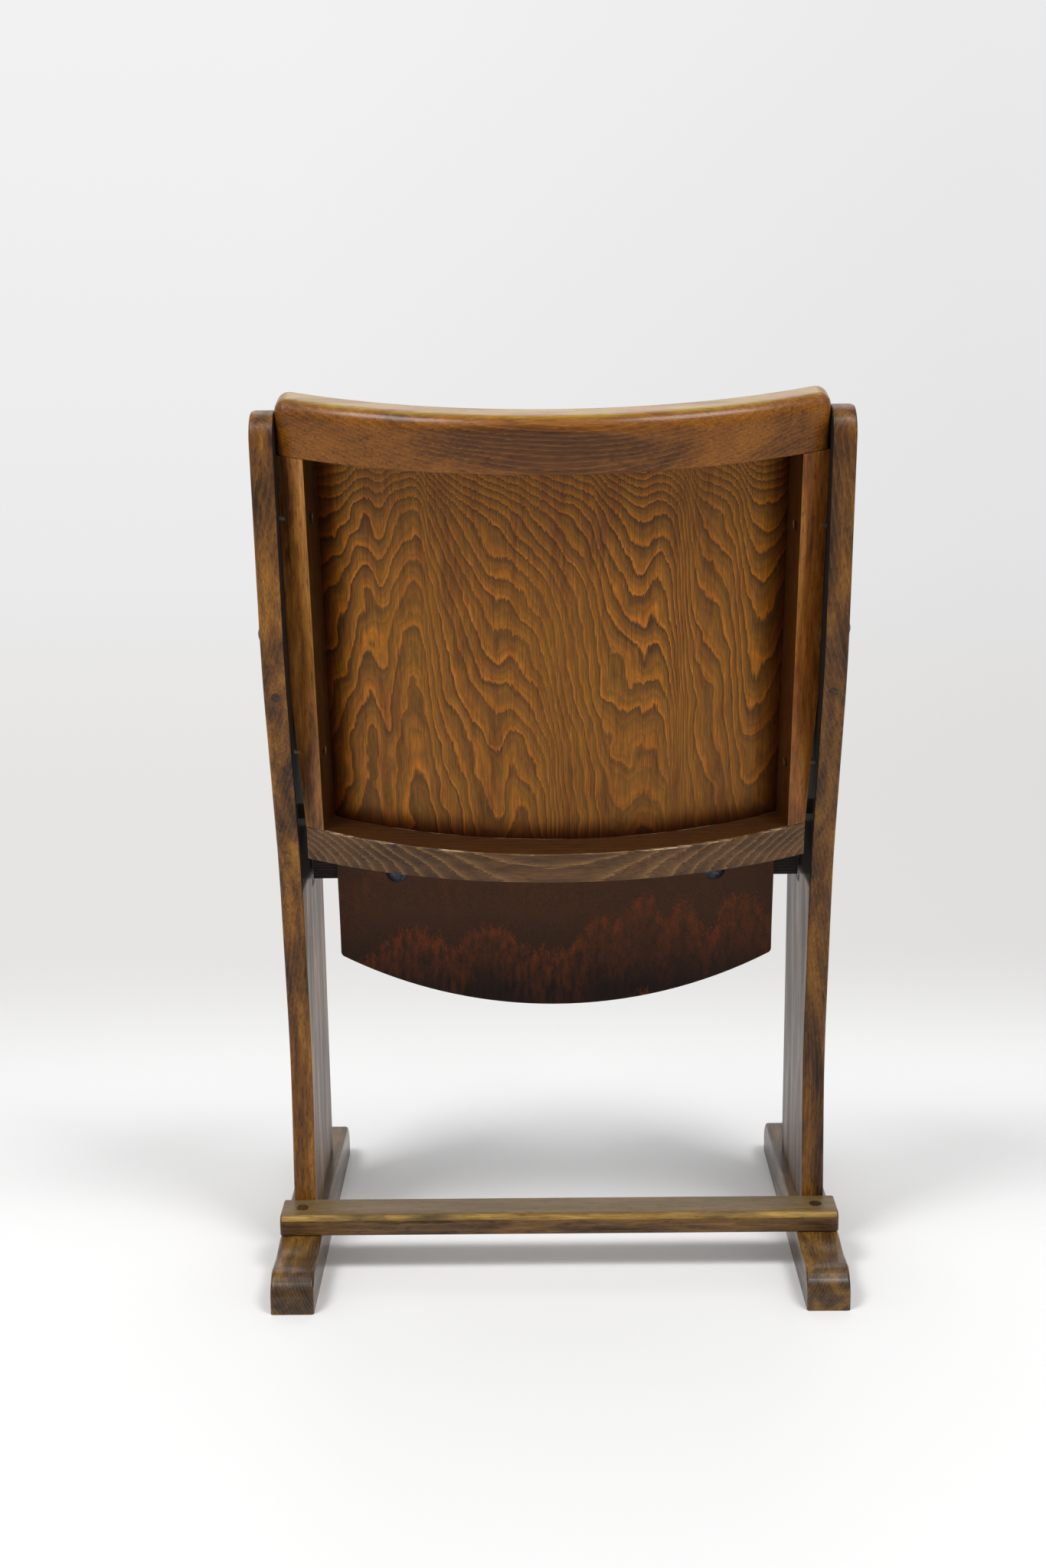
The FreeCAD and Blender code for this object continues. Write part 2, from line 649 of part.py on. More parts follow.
def add_crossbar():
    """The bar that ties the feet together behind the boards, with its rear top edge rounded over."""
    body = new_body("foot_crossbar")
    top = "(foot_height + crossbar_height)"
    corners = [(HEEL, "foot_height"), (BAR_REAR, "foot_height"), (BAR_REAR, top), (HEEL, top)]
    sketch = outline(body, "BarSide", "YZ_Plane", corners, offset="-overall_width / 2")
    pad(body, "BarBlank", sketch, "overall_width")
    round_edges(body, "BarRearEdge", [("0", BAR_REAR, top)], "crossbar_round")
    round_edges(body, "BarLongEdges", [("0", HEEL, top), ("0", BAR_REAR, "foot_height")], "board_edge_round")
    round_rims(body, "BarEnds", ("overall_width / 2", "-overall_width / 2"), "board_edge_round", above="foot_height")
    for name, side in SIDES:
        middle = f"({side} * {BOARD_MIDDLE})"
        station = f"({HEEL} + crossbar_depth / 2)"
        cut_cylinder(body, f"BarPlugBore{name}", "bar_plug_radius + wood_fit", "bar_plug_depth",
                     (middle, station, f"{top} - bar_plug_depth"), (0, 0, 1))
        cut_cylinder(body, f"BarHeadBore{name}", "bar_screw_head_radius + wood_fit", "bar_screw_head_depth",
                     (middle, station, f"{top} - bar_plug_depth - bar_screw_head_depth"), (0, 0, 1))
        cut_cylinder(body, f"BarScrewBore{name}", "bar_screw_radius + wood_fit", "crossbar_height",
                     (middle, station, "foot_height"), (0, 0, 1))


def add_crossbar_fasteners():
    """A screw down through each end of the bar into its foot, under a wooden plug."""
    screws = []
    plugs = []
    station = f"({HEEL} + crossbar_depth / 2)"
    seat_height = "(foot_height + crossbar_height - bar_plug_depth)"
    for name, side in SIDES:
        middle = f"({side} * {BOARD_MIDDLE})"
        steps = [
            ("0", "bar_screw_head_depth", "bar_screw_head_radius", "bar_screw_radius"),
            ("bar_screw_head_depth", "bar_screw_length - bar_screw_head_depth", "bar_screw_radius", "bar_screw_radius"),
        ]
        screws.append(turned(f"BarScrew{name}", steps, (middle, station, seat_height), (0, 0, -1)))
        steps = [("0", "bar_plug_depth + bar_plug_proud", "bar_plug_radius", "bar_plug_radius")]
        plugs.append(turned(f"BarPlug{name}", steps, (middle, station, seat_height), (0, 0, 1)))
    group("crossbar_screws", screws)
    group("crossbar_plugs", plugs)


def add_foot_dowels():
    """The dowels that stand each side board on its foot."""
    dowels = []
    steps = [("0", "foot_dowel_length", "foot_dowel_radius", "foot_dowel_radius")]
    for name, side in SIDES:
        for index, station in enumerate(FOOT_DOWELS):
            place = (f"{side} * {BOARD_MIDDLE}", station, "foot_height - foot_dowel_length / 2")
            dowels.append(turned(f"FootDowel{name}{index}", steps, place, (0, 0, 1)))
    group("foot_dowels", dowels)


def arc_place(half_width, depth="0"):
    """A corner of a bowed member in plan."""
    return half_width, f"(-{bow(half_width, depth)})"


PANEL_REAR = "(frame_depth - panel_thickness - panel_gap)"
REBATE_HALF = f"({STILE_INNER} - stile_side_inset + panel_lap)"
RAIL_FRONT = f"({BOW_RADIUS} - frame_depth)"
DOWEL_X = f"({STILE_INNER} + stile_width / 2 + 1)"
DOWEL_Y = f"(-{bow(DOWEL_X)} - frame_depth / 2 + 3)"


def add_rail(label, half_width, start, height):
    """A bowed rail between the side boards, of even depth from front to rear."""
    body = new_body(label)
    left, front_left = arc_place(half_width), arc_place(half_width, "frame_depth")
    corners = [(f"-{left[0]}", left[1]), left, front_left, (f"-{left[0]}", front_left[1])]
    arcs = {0: (BOW_RADIUS, -1), 2: (RAIL_FRONT, 1)}
    sketch = outline(body, f"Plan_{label}", "XY_Plane", corners, arcs, offset=start)
    pad(body, f"Blank_{label}", sketch, height)
    return body


def cut_rebate(body, name, top):
    """Cut the step in a rail's front that takes the panel's edge."""
    half = f"({REBATE_HALF})"
    beyond = "-2"
    rear, front = bow(half, PANEL_REAR), bow(half, f"frame_depth - {beyond}")
    corners = [(f"-{half}", f"-{rear}"), (half, f"-{rear}"), (half, f"-{front}"), (f"-{half}", f"-{front}")]
    arcs = {0: (f"{BOW_RADIUS} - {PANEL_REAR}", -1), 2: (f"{RAIL_FRONT} + {beyond}", 1)}
    sketch = outline(body, name, "XY_Plane", corners, arcs, offset=top)
    sink(body, f"{name}Cut", sketch, "panel_lap + panel_gap")


def add_bottom_rail():
    """The back's lower rail, arched a little along its underside."""
    half = f"({FRAME_HALF} - bottom_taper)"
    body = add_rail("back_bottom_rail", half, "0", "bottom_rail_height")
    cut_rebate(body, "LowerRebate", "bottom_rail_height")
    arch = f"(({half} ^ 2 + bottom_rail_arch ^ 2) / (2 * bottom_rail_arch))"
    corners = [(f"-{half}", "0"), (half, "0"), (half, "-5"), (f"-{half}", "-5")]
    sketch = outline(body, "RailArch", "XZ_Plane", corners, {0: (arch, -1)})
    pocket(body, "RailArchCut", sketch)
    middle = f"-{bow('0')}"
    round_edges(body, "RailEdges", [("0", middle, "bottom_rail_height"), ("0", middle, "bottom_rail_arch")],
                "rail_edge_round")
    for name, side in SIDES:
        place = (f"{side} * {DOWEL_X}", DOWEL_Y, "bottom_rail_height - frame_dowel_length / 2")
        cut_cylinder(body, f"LowerDowelBore{name}", "frame_dowel_radius + wood_fit", "frame_dowel_length",
                     place, (0, 0, 1))
    lean_body(body, BACK_BASE, "rake")


def add_top_rail():
    """The crest rail: thick, well rounded over its top, with round upper corners."""
    body = add_rail("back_top_rail", FRAME_HALF, "crest_lift", "crest_height")
    cut_rebate(body, "UpperRebate", "crest_lift + panel_lap + panel_gap")
    rear, front = f"-{bow('0')}", f"-{bow('0', 'frame_depth')}"
    corner_y = f"-({bow(FRAME_HALF)} + {bow(FRAME_HALF, 'frame_depth')}) / 2"
    corners = [(f"{side} * {FRAME_HALF}", corner_y, CREST_TOP) for _, side in SIDES]
    round_edges(body, "CrestCorners", corners, "crest_corner_round")
    round_edges(body, "CrestRear", [("0", rear, CREST_TOP)], "crest_rear_round")
    round_edges(body, "CrestFront", [("0", front, CREST_TOP)], "crest_front_round")
    round_edges(body, "CrestLower", [("0", rear, "crest_lift")], "rail_edge_round")
    for name, side in SIDES:
        place = (f"{side} * {DOWEL_X}", DOWEL_Y, "crest_lift - frame_dowel_length / 2")
        cut_cylinder(body, f"UpperDowelBore{name}", "frame_dowel_radius + wood_fit", "frame_dowel_length",
                     place, (0, 0, 1))
    lean_body(body, BACK_BASE, "rake")


def add_stile(name, side):
    """An upright of the back: its faces follow the bow, its inner side slants, its lower end tapers."""
    body = new_body(f"back_stile_{name}")
    inner_front = f"({STILE_INNER} - stile_side_inset)"
    plan = [
        arc_place(STILE_INNER),
        arc_place(FRAME_HALF),
        arc_place(FRAME_HALF, "frame_depth"),
        arc_place(REBATE_HALF, "frame_depth"),
        arc_place(REBATE_HALF, PANEL_REAR),
        arc_place(inner_front, PANEL_REAR),
    ]
    corners = [(f"{side} * {x}", y) for x, y in plan]
    arcs = {
        0: (BOW_RADIUS, -side),
        2: (RAIL_FRONT, side),
        4: (f"{BOW_RADIUS} - {PANEL_REAR}", side),
    }
    sketch = outline(body, f"StilePlan{name}", "XY_Plane", corners, arcs, offset="bottom_rail_height")
    pad(body, f"StileBlank{name}", sketch, "crest_lift - bottom_rail_height")
    taper_top = "(bottom_rail_height + taper_height)"
    wedge = [
        (f"{side} * ({FRAME_HALF} - bottom_taper)", "bottom_rail_height - 0.5"),
        (f"{side} * ({FRAME_HALF} + 5)", "bottom_rail_height - 0.5"),
        (f"{side} * ({FRAME_HALF} + 5)", taper_top),
        (f"{side} * {FRAME_HALF}", taper_top),
    ]
    sketch = outline(body, f"StileTaper{name}", "XZ_Plane", wedge)
    pocket(body, f"StileTaperCut{name}", sketch)
    for level, start in (("Low", "bottom_rail_height"), ("High", "crest_lift - frame_dowel_length / 2")):
        place = (f"{side} * {DOWEL_X}", DOWEL_Y, start)
        cut_cylinder(body, f"StileDowelBore{name}{level}", "frame_dowel_radius + wood_fit",
                     "frame_dowel_length / 2", place, (0, 0, 1))
    face = f"({side} * {SCREW_FACE})"
    for level in ("upper", "lower"):
        rise = f"{level}_screw_rise_{name}"
        clear = f"({side} * ({SCREW_FACE} - stile_side_inset))"
        cut_cylinder(body, f"StileHeadBore{name}{level}", "frame_screw_head_radius + wood_fit",
                     "stile_side_inset + frame_screw_head_depth", (clear, f"-{SCREW_FORWARD}", rise), (side, 0, 0))
        cut_cylinder(body, f"StileScrewBore{name}{level}", "frame_screw_radius + wood_fit", "stile_width * 2",
                     (face, f"-{SCREW_FORWARD}", rise), (side, 0, 0))
    bolt_y, bolt_z = back_local(BACK_BOLT_Y, "back_bolt_height")
    start = f"({side} * ({BOARD_OUTER} - back_bolt_length))"
    cut_cylinder(body, f"StileBoltBore{name}", "back_bolt_radius + wood_fit", "back_bolt_length",
                 (start, bolt_y, bolt_z), (side, 0, 0))
    lean_body(body, BACK_BASE, "rake")


def add_back_panel():
    """The bowed plywood panel that lies in the frame's front rebate."""
    body = new_body("back_panel")
    half = f"({REBATE_HALF} - panel_gap)"
    depth = "(frame_depth - panel_thickness)"
    left, front_left = arc_place(half, depth), arc_place(half, "frame_depth")
    corners = [(f"-{left[0]}", left[1]), left, front_left, (f"-{left[0]}", front_left[1])]
    arcs = {0: (f"{BOW_RADIUS} - {depth}", -1), 2: (RAIL_FRONT, 1)}
    sketch = outline(body, "PanelPlan", "XY_Plane", corners, arcs, offset="bottom_rail_height - panel_lap")
    pad(body, "PanelBlank", sketch, "crest_lift - bottom_rail_height + 2 * panel_lap")
    lean_body(body, BACK_BASE, "rake")


def add_back_fasteners():
    """Dowels in the frame's joints, screws and bolts that hold it to the boards, and the boards' edge plugs."""
    dowels = []
    for name, side in SIDES:
        for level, height in (("Low", "bottom_rail_height"), ("High", "crest_lift")):
            place = (f"{side} * {DOWEL_X}", DOWEL_Y, f"{height} - frame_dowel_length / 2")
            steps = [("0", "frame_dowel_length", "frame_dowel_radius", "frame_dowel_radius")]
            dowels.append(turned(f"FrameDowel{name}{level}", steps, place, (0, 0, 1)))
    lean_body(group("back_frame_dowels", dowels), BACK_BASE, "rake")
    screws = []
    bolts = []
    plugs = []
    steps = [
        ("0", "frame_screw_head_depth", "frame_screw_head_radius", "frame_screw_radius"),
        ("frame_screw_head_depth", "frame_screw_length - frame_screw_head_depth",
         "frame_screw_radius", "frame_screw_radius"),
    ]
    for name, side in SIDES:
        for level in ("upper", "lower"):
            y_place, z_place = back_place(SCREW_FORWARD, f"{level}_screw_rise_{name}")
            place = (f"{side} * {SCREW_FACE}", y_place, z_place)
            screws.append(turned(f"FrameScrew{name}{level}", steps, place, (side, 0, 0)))
        place = (f"{side} * {BOARD_OUTER}", BACK_BOLT_Y, "back_bolt_height")
        bolts.append(domed(f"BackBolt{name}", "back_bolt_head_radius", "back_bolt_head_height",
                           "back_bolt_radius", "back_bolt_length", place, (side, 0, 0)))
        place = (f"{side} * {BOARD_MIDDLE}", PLUG_Y, "edge_plug_height")
        plug_steps = [("0", "edge_plug_length", "edge_plug_radius", "edge_plug_radius")]
        plugs.append(turned(f"EdgePlug{name}", plug_steps, place, plug_axis()))
    group("back_frame_screws", screws)
    group("back_bolts", bolts)
    group("edge_plugs", plugs)


def add_pivot_plate(name, side):
    """A steel bearing plate, let in flush with the board's inner face."""
    body = new_body(f"pivot_plate_{name}")
    corners, arcs = rounded_rectangle(PIVOT_Y, "pivot_height", "plate_width", "plate_length", "plate_corner")
    start = side_start(side, BOARD_INNER, f"({BOARD_INNER} + plate_thickness)")
    sketch = outline(body, f"PlateOutline{name}", "YZ_Plane", corners, arcs, offset=start)
    pad(body, f"PlateBlank{name}", sketch, "plate_thickness")
    inner = f"({side} * {BOARD_INNER})"
    cut_cylinder(body, f"PlateBore{name}", "pivot_pin_radius + pivot_fit", "plate_thickness",
                 (inner, PIVOT_Y, "pivot_height"), (side, 0, 0))
    for index, turn in enumerate((-1, 1)):
        height = f"(pivot_height + {turn} * plate_screw_spacing / 2)"
        cut_cylinder(body, f"PlateHeadBore{name}{index}", "plate_screw_head_radius + wood_fit",
                     "plate_screw_head_depth", (inner, PIVOT_Y, height), (side, 0, 0))
        cut_cylinder(body, f"PlateScrewBore{name}{index}", "plate_screw_radius", "plate_thickness",
                     (inner, PIVOT_Y, height), (side, 0, 0))


def add_stop_block(name, side):
    """A hardwood block on the board that the lowered seat comes to rest on, with a rubber pad on top."""
    body = new_body(f"stop_block_{name}")
    low = f"({stop_top(STOP_FRONT)} - stop_height)"
    corners = [(STOP_FRONT, low), (STOP_REAR, low), (STOP_REAR, stop_top(STOP_REAR)),
               (STOP_FRONT, stop_top(STOP_FRONT))]
    start = side_start(side, f"({BOARD_INNER} - stop_width)", BOARD_INNER)
    sketch = outline(body, f"StopSide{name}", "YZ_Plane", corners, offset=start)
    pad(body, f"StopBlank{name}", sketch, "stop_width")
    face = f"({side} * ({BOARD_INNER} - stop_width))"
    middle = f"({side} * ({BOARD_INNER} - stop_width / 2))"
    round_edges(body, f"StopEdges{name}", [(middle, STOP_FRONT, low), (middle, STOP_REAR, low)], "stop_edge_round")
    for index, turn in enumerate((-1, 1)):
        place = (face, *stop_screw_place(turn))
        cut_cylinder(body, f"StopHeadBore{name}{index}", "stop_screw_head_radius + wood_fit",
                     "stop_screw_head_depth", place, (side, 0, 0))
        cut_cylinder(body, f"StopScrewBore{name}{index}", "stop_screw_radius", "stop_width", place, (side, 0, 0))
    pad_body = new_body(f"stop_pad_{name}")
    front, rear = f"({STOP_FRONT} + stop_pad_margin)", f"({STOP_REAR} - stop_pad_margin)"
    corners = [(front, stop_top(front)), (rear, stop_top(rear)), (rear, f"{stop_top(rear)} + stop_pad_thickness"),
               (front, f"{stop_top(front)} + stop_pad_thickness")]
    length = "(stop_width - 2 * stop_pad_margin)"
    start = side_start(side, f"({BOARD_INNER} - stop_width + stop_pad_margin)", f"({BOARD_INNER} - stop_pad_margin)")
    sketch = outline(pad_body, f"StopPadSide{name}", "YZ_Plane", corners, offset=start)
    pad(pad_body, f"StopPadBlank{name}", sketch, length)


def ring(name, outer, inner, length, place, axis):
    """A flat or long ring: a washer or a sleeve."""
    solid = doc.addObject("Part::Cylinder", f"{name}Outside")
    bind(solid, "Radius", outer)
    bind(solid, "Height", length)
    hole = doc.addObject("Part::Cylinder", f"{name}Hole")
    bind(hole, "Radius", inner)
    bind(hole, "Height", length)
    piece = doc.addObject("Part::Cut", name)
    piece.Base = solid
    piece.Tool = hole
    set_place(piece, place, axis)
    return piece


def add_board_hardware():
    """Screws of the bearing plates and stop blocks, and the sleeved pegs that the raised seat leans on."""
    plate_screws = []
    stop_screws = []
    pegs = []
    sleeves = []
    plate_steps = [
        ("0", "plate_screw_head_depth", "plate_screw_head_radius", "plate_screw_radius"),
        ("plate_screw_head_depth", "plate_screw_length - plate_screw_head_depth",
         "plate_screw_radius", "plate_screw_radius"),
    ]
    stop_steps = [
        ("0", "stop_screw_head_depth", "stop_screw_head_radius", "stop_screw_radius"),
        ("stop_screw_head_depth", "stop_screw_length - stop_screw_head_depth",
         "stop_screw_radius", "stop_screw_radius"),
    ]
    peg_steps = [
        ("0", "peg_grip + peg_reach", "peg_radius", "peg_radius"),
        ("peg_grip + peg_reach - peg_head_thickness", "peg_head_thickness", "peg_head_radius", "peg_head_radius"),
    ]
    for name, side in SIDES:
        inner = f"({side} * {BOARD_INNER})"
        for index, turn in enumerate((-1, 1)):
            height = f"(pivot_height + {turn} * plate_screw_spacing / 2)"
            plate_screws.append(turned(f"PlateScrew{name}{index}", plate_steps, (inner, PIVOT_Y, height), (side, 0, 0)))
            place = (f"({side} * ({BOARD_INNER} - stop_width))", *stop_screw_place(turn))
            stop_screws.append(turned(f"StopScrew{name}{index}", stop_steps, place, (side, 0, 0)))
        place = (f"({side} * ({BOARD_INNER} + peg_grip))", *PEG_PLACE)
        pegs.append(turned(f"Peg{name}", peg_steps, place, (-side, 0, 0)))
        sleeves.append(ring(f"PegSleeve{name}", "peg_sleeve_radius", "peg_radius", "peg_reach - peg_head_thickness",
                            (inner, *PEG_PLACE), (-side, 0, 0)))
    group("pivot_plate_screws", plate_screws)
    group("stop_block_screws", stop_screws)
    group("up_stop_pegs", pegs)
    group("up_stop_sleeves", sleeves)


def curve(centre, radius, start, finish):
    """An arc in the seat's Y-Z plane between two angles in radians."""
    points = []
    for angle in (start, (start + finish) / 2, finish):
        points.append(centre + FreeCAD.Vector(0, math.cos(angle), math.sin(angle)) * radius)
    return Part.Arc(*points).toShape()


def seat_section(across):
    """One slice of the seat panel: rim turned up behind, flat in the middle, rolled down in front."""
    half, top, thick = number(SEAT_HALF), number(SEAT_TOP), number("seat_thickness")
    rear_bow, front_bow = number("seat_rear_bow"), number("seat_front_bow")
    rear_radius = (half ** 2 + rear_bow ** 2) / (2 * rear_bow)
    front_radius = (half ** 2 + front_bow ** 2) / (2 * front_bow)
    rear = number("seat_rear_reach") - rear_radius + math.sqrt(rear_radius ** 2 - across ** 2)
    front = -number("seat_front_reach") + front_radius - math.sqrt(front_radius ** 2 - across ** 2)
    rim, rise = number("seat_rim_width"), number("seat_rim_rise")
    roll, drop = number("seat_front_roll") - number("seat_front_bow"), number("seat_front_drop")
    rim_radius = (rim ** 2 + rise ** 2) / (2 * rise)
    roll_radius = (roll ** 2 + drop ** 2) / (2 * drop)
    rim_centre = FreeCAD.Vector(across, rear - rim, top + rim_radius)
    roll_centre = FreeCAD.Vector(across, front + roll, top - roll_radius)
    down, up = -math.pi / 2, math.pi / 2
    rim_end = down + math.asin(rim / rim_radius)
    roll_end = up + math.asin(roll / roll_radius)
    rim_top = curve(rim_centre, rim_radius, down, rim_end)
    rim_under = curve(rim_centre, rim_radius + thick, rim_end, down)
    roll_under = curve(roll_centre, roll_radius - thick, up, roll_end)
    roll_top = curve(roll_centre, roll_radius, roll_end, up)
    edges = [rim_top, None, rim_under, None, roll_under, None, roll_top, None]
    for index in (1, 3, 5, 7):
        before, after = edges[index - 1], edges[(index + 1) % 8]
        first = before.valueAt(before.LastParameter)
        last = after.valueAt(after.FirstParameter)
        edges[index] = Part.makeLine(first, last)
    return Part.Wire(edges)


def add_seat_panel():
    """The moulded plywood seat, lofted across slices so that its rear rim follows the curved edge."""
    half = number(SEAT_HALF)
    slices = 8
    wires = [seat_section(half * (2 * index / slices - 1)) for index in range(slices + 1)]
    shape = Part.makeLoft(wires, True, False)
    rear_y = number("seat_rear_reach - seat_rear_bow")
    front_y = number("seat_front_bow - seat_front_reach")
    corner_rounds = ((rear_y, "seat_rear_corner"), (front_y, "seat_front_corner"))
    for y_place, radius in corner_rounds:
        edges = []
        for turn in (-1, 1):
            upright = [edge for edge in shape.Edges if abs(edge.BoundBox.XMin - turn * half) < 0.01
                       and edge.BoundBox.XLength < 0.01 and edge.BoundBox.YLength < number("seat_thickness") * 0.6]
            upright.sort(key=lambda edge: abs(edge.CenterOfMass.y - y_place))
            edges.append(upright[0])
        shape = shape.makeFillet(number(radius), edges)
    bore = number("seat_bolt_radius + bolt_fit")
    for turn in (-1, 1):
        place = FreeCAD.Vector(turn * number(BOLT_X), number("seat_bolt_offset"), 0)
        shape = shape.cut(Part.makeCylinder(bore, number(SEAT_TOP) * 2, place))
    depth = number("seat_screw_length - bearer_height")
    for x_place, y_place in SEAT_SCREWS:
        place = FreeCAD.Vector(number(x_place), number(y_place), number(SEAT_UNDER))
        shape = shape.cut(Part.makeCylinder(number("seat_screw_radius"), depth, place))
    feature = doc.addObject("Part::Feature", "seat_panel")
    feature.Label = "seat_panel"
    feature.Shape = shape
    lean_body(feature, SEAT_BASE, SEAT_TURN)
    NODES.append(feature)


SEAT_SCREWS = [(f"{side} * ({BEARER_OUTER} - bearer_width / 2)", f"-({BATTEN_FRONT} - batten_width / 2) * {part} / 3")
               for _, side in SIDES for part in (1, 2, 3)]
SEAT_SCREWS += [(f"{turn} * {BOLT_X} * 2 / 3", f"-({BATTEN_FRONT} - batten_width / 2)") for turn in (-1, 0, 1)]


def add_seat_frame():
    """The hardwood beam that carries the seat and its pins, and the bearers and batten under the panel."""
    beam = new_body("seat_beam")
    low_y, high_y = "-beam_width / 2", "beam_width / 2"
    low_z, high_z = "-beam_height / 2", "beam_height / 2"
    corners = [(low_y, low_z), (high_y, low_z), (high_y, high_z), (low_y, high_z)]
    sketch = outline(beam, "BeamSide", "YZ_Plane", corners, offset=f"-{BEAM_HALF}")
    pad(beam, "BeamBlank", sketch, f"2 * {BEAM_HALF}")
    round_edges(beam, "BeamEdges", [("0", low_y, low_z), ("0", high_y, low_z)], "beam_edge_round")
    for name, side in SIDES:
        cut_cylinder(beam, f"BeamPinBore{name}", "pivot_pin_radius", "pivot_pin_grip",
                     (f"{side} * {BEAM_HALF}", "0", "0"), (-side, 0, 0))
        cut_cylinder(beam, f"BeamBoltBore{name}", "seat_bolt_radius + bolt_fit", "beam_height",
                     (f"{side} * {BOLT_X}", "seat_bolt_offset", low_z), (0, 0, 1))
    lean_body(beam, SEAT_BASE, SEAT_TURN)
    for name, side in SIDES:
        bearer = new_body(f"seat_bearer_{name}")
        corners = [(f"-{BATTEN_FRONT}", BEARER_UNDER), (low_y, BEARER_UNDER), (low_y, SEAT_UNDER),
                   (f"-{BATTEN_FRONT}", SEAT_UNDER)]
        start = side_start(side, f"({BEARER_OUTER} - bearer_width)", BEARER_OUTER)
        sketch = outline(bearer, f"BearerSide{name}", "YZ_Plane", corners, offset=start)
        pad(bearer, f"BearerBlank{name}", sketch, "bearer_width")
        bore_seat_screws(bearer, f"Bearer{name}", SEAT_SCREWS[:3] if side > 0 else SEAT_SCREWS[3:6])
        lean_body(bearer, SEAT_BASE, SEAT_TURN)
    batten = new_body("seat_front_batten")
    rear = f"-({BATTEN_FRONT} - batten_width)"
    corners = [(f"-{BATTEN_FRONT}", BEARER_UNDER), (rear, BEARER_UNDER), (rear, SEAT_UNDER),
               (f"-{BATTEN_FRONT}", SEAT_UNDER)]
    half = f"({BEARER_OUTER} - bearer_width)"
    sketch = outline(batten, "BattenSide", "YZ_Plane", corners, offset=f"-{half}")
    pad(batten, "BattenBlank", sketch, f"2 * {half}")
    bore_seat_screws(batten, "Batten", SEAT_SCREWS[6:])
    lean_body(batten, SEAT_BASE, SEAT_TURN)


def bore_seat_screws(body, name, places):
    """Bore a bearer or batten for the screws that hold the seat panel."""
    for index, (x_place, y_place) in enumerate(places):
        cut_cylinder(body, f"{name}HeadBore{index}", "seat_screw_head_radius + wood_fit", "seat_screw_head_depth",
                     (x_place, y_place, BEARER_UNDER), (0, 0, 1))
        cut_cylinder(body, f"{name}ScrewBore{index}", "seat_screw_radius", "bearer_height",
                     (x_place, y_place, BEARER_UNDER), (0, 0, 1))


def add_seat_hardware():
    """Round-headed bolts, washers, nuts and screws of the seat, and the pins that it turns on."""
    bolts = []
    washers = []
    nuts = []
    stack = f"({SEAT_TOP} + beam_height / 2 + seat_washer_thickness + seat_nut_height + seat_bolt_spare)"
    for name, side in SIDES:
        x_place = f"{side} * {BOLT_X}"
        bolts.append(domed(f"SeatBolt{name}", "seat_bolt_head_radius", "seat_bolt_head_height", "seat_bolt_radius",
                           stack, (x_place, "seat_bolt_offset", SEAT_TOP), (0, 0, 1)))
        washers.append(ring(f"SeatWasher{name}", "seat_washer_radius", "seat_bolt_radius + bolt_fit",
                            "seat_washer_thickness", (x_place, "seat_bolt_offset", "-beam_height / 2"), (0, 0, -1)))
        blank = doc.addObject("Part::Prism", f"NutBlank{name}")
        blank.Polygon = 6
        bind(blank, "Circumradius", "seat_nut_radius")
        bind(blank, "Height", "seat_nut_height")
        hole = doc.addObject("Part::Cylinder", f"NutHole{name}")
        bind(hole, "Radius", "seat_bolt_radius")
        bind(hole, "Height", "seat_nut_height")
        nut = doc.addObject("Part::Cut", f"SeatNut{name}")
        nut.Base = blank
        nut.Tool = hole
        set_place(nut, (x_place, "seat_bolt_offset", "-beam_height / 2 - seat_washer_thickness"), (0, 0, -1))
        nuts.append(nut)
    steps = [
        ("0", "seat_screw_head_depth", "seat_screw_head_radius", "seat_screw_radius"),
        ("seat_screw_head_depth", "seat_screw_length - seat_screw_head_depth", "seat_screw_radius",
         "seat_screw_radius"),
    ]
    screws = [turned(f"SeatScrew{index}", steps, (x_place, y_place, BEARER_UNDER), (0, 0, 1))
              for index, (x_place, y_place) in enumerate(SEAT_SCREWS)]
    for label, pieces in (("seat_bolts", bolts), ("seat_bolt_washers", washers), ("seat_bolt_nuts", nuts),
                          ("seat_screws", screws)):
        lean_body(group(label, pieces), SEAT_BASE, SEAT_TURN)
    pivot_washers = []
    for name, side in SIDES:
        length = f"(pivot_pin_grip + {BOARD_INNER} - {BEAM_HALF} + pivot_pin_reach)"
        steps = [
            ("0", f"{length} - pivot_pin_point", "pivot_pin_radius", "pivot_pin_radius"),
            (f"{length} - pivot_pin_point", "pivot_pin_point", "pivot_pin_radius",
             "pivot_pin_radius - pivot_pin_point"),
        ]
        place = (f"{side} * ({BEAM_HALF} - pivot_pin_grip)", PIVOT_Y, "pivot_height")
        pin = turned(f"pivot_pin_{name}", steps, place, (side, 0, 0))
        pin.Label = f"pivot_pin_{name}"
        NODES.append(pin)
        place = (f"{side} * {BEAM_HALF}", PIVOT_Y, "pivot_height")
        pivot_washers.append(ring(f"PivotWasher{name}", "pivot_washer_radius", "pivot_pin_radius + pivot_fit",
                                  "pivot_washer_thickness", place, (side, 0, 0)))
    group("pivot_washers", pivot_washers)


def check_and_write():
    """Stop on any failed object, then write each node's solids."""
    doc.recompute()
    for item in doc.Objects:
        assert "Invalid" not in item.State and "Error" not in item.State, f"{item.Label}: {item.State}"
    os.makedirs("parts", exist_ok=True)
    for node in NODES:
        shape = node.Shape
        assert not shape.isNull() and shape.isValid() and shape.Solids, f"{node.Label} has no sound shape"
        shape.exportStep(f"parts/{node.Label}.step")
        box = shape.BoundBox
        print(f"{node.Label:22s} solids {len(shape.Solids):2d}  x {box.XMin:7.1f} {box.XMax:7.1f}"
              f"  y {box.YMin:7.1f} {box.YMax:7.1f}  z {box.ZMin:6.1f} {box.ZMax:6.1f}")
    print(f"{len(NODES)} nodes")


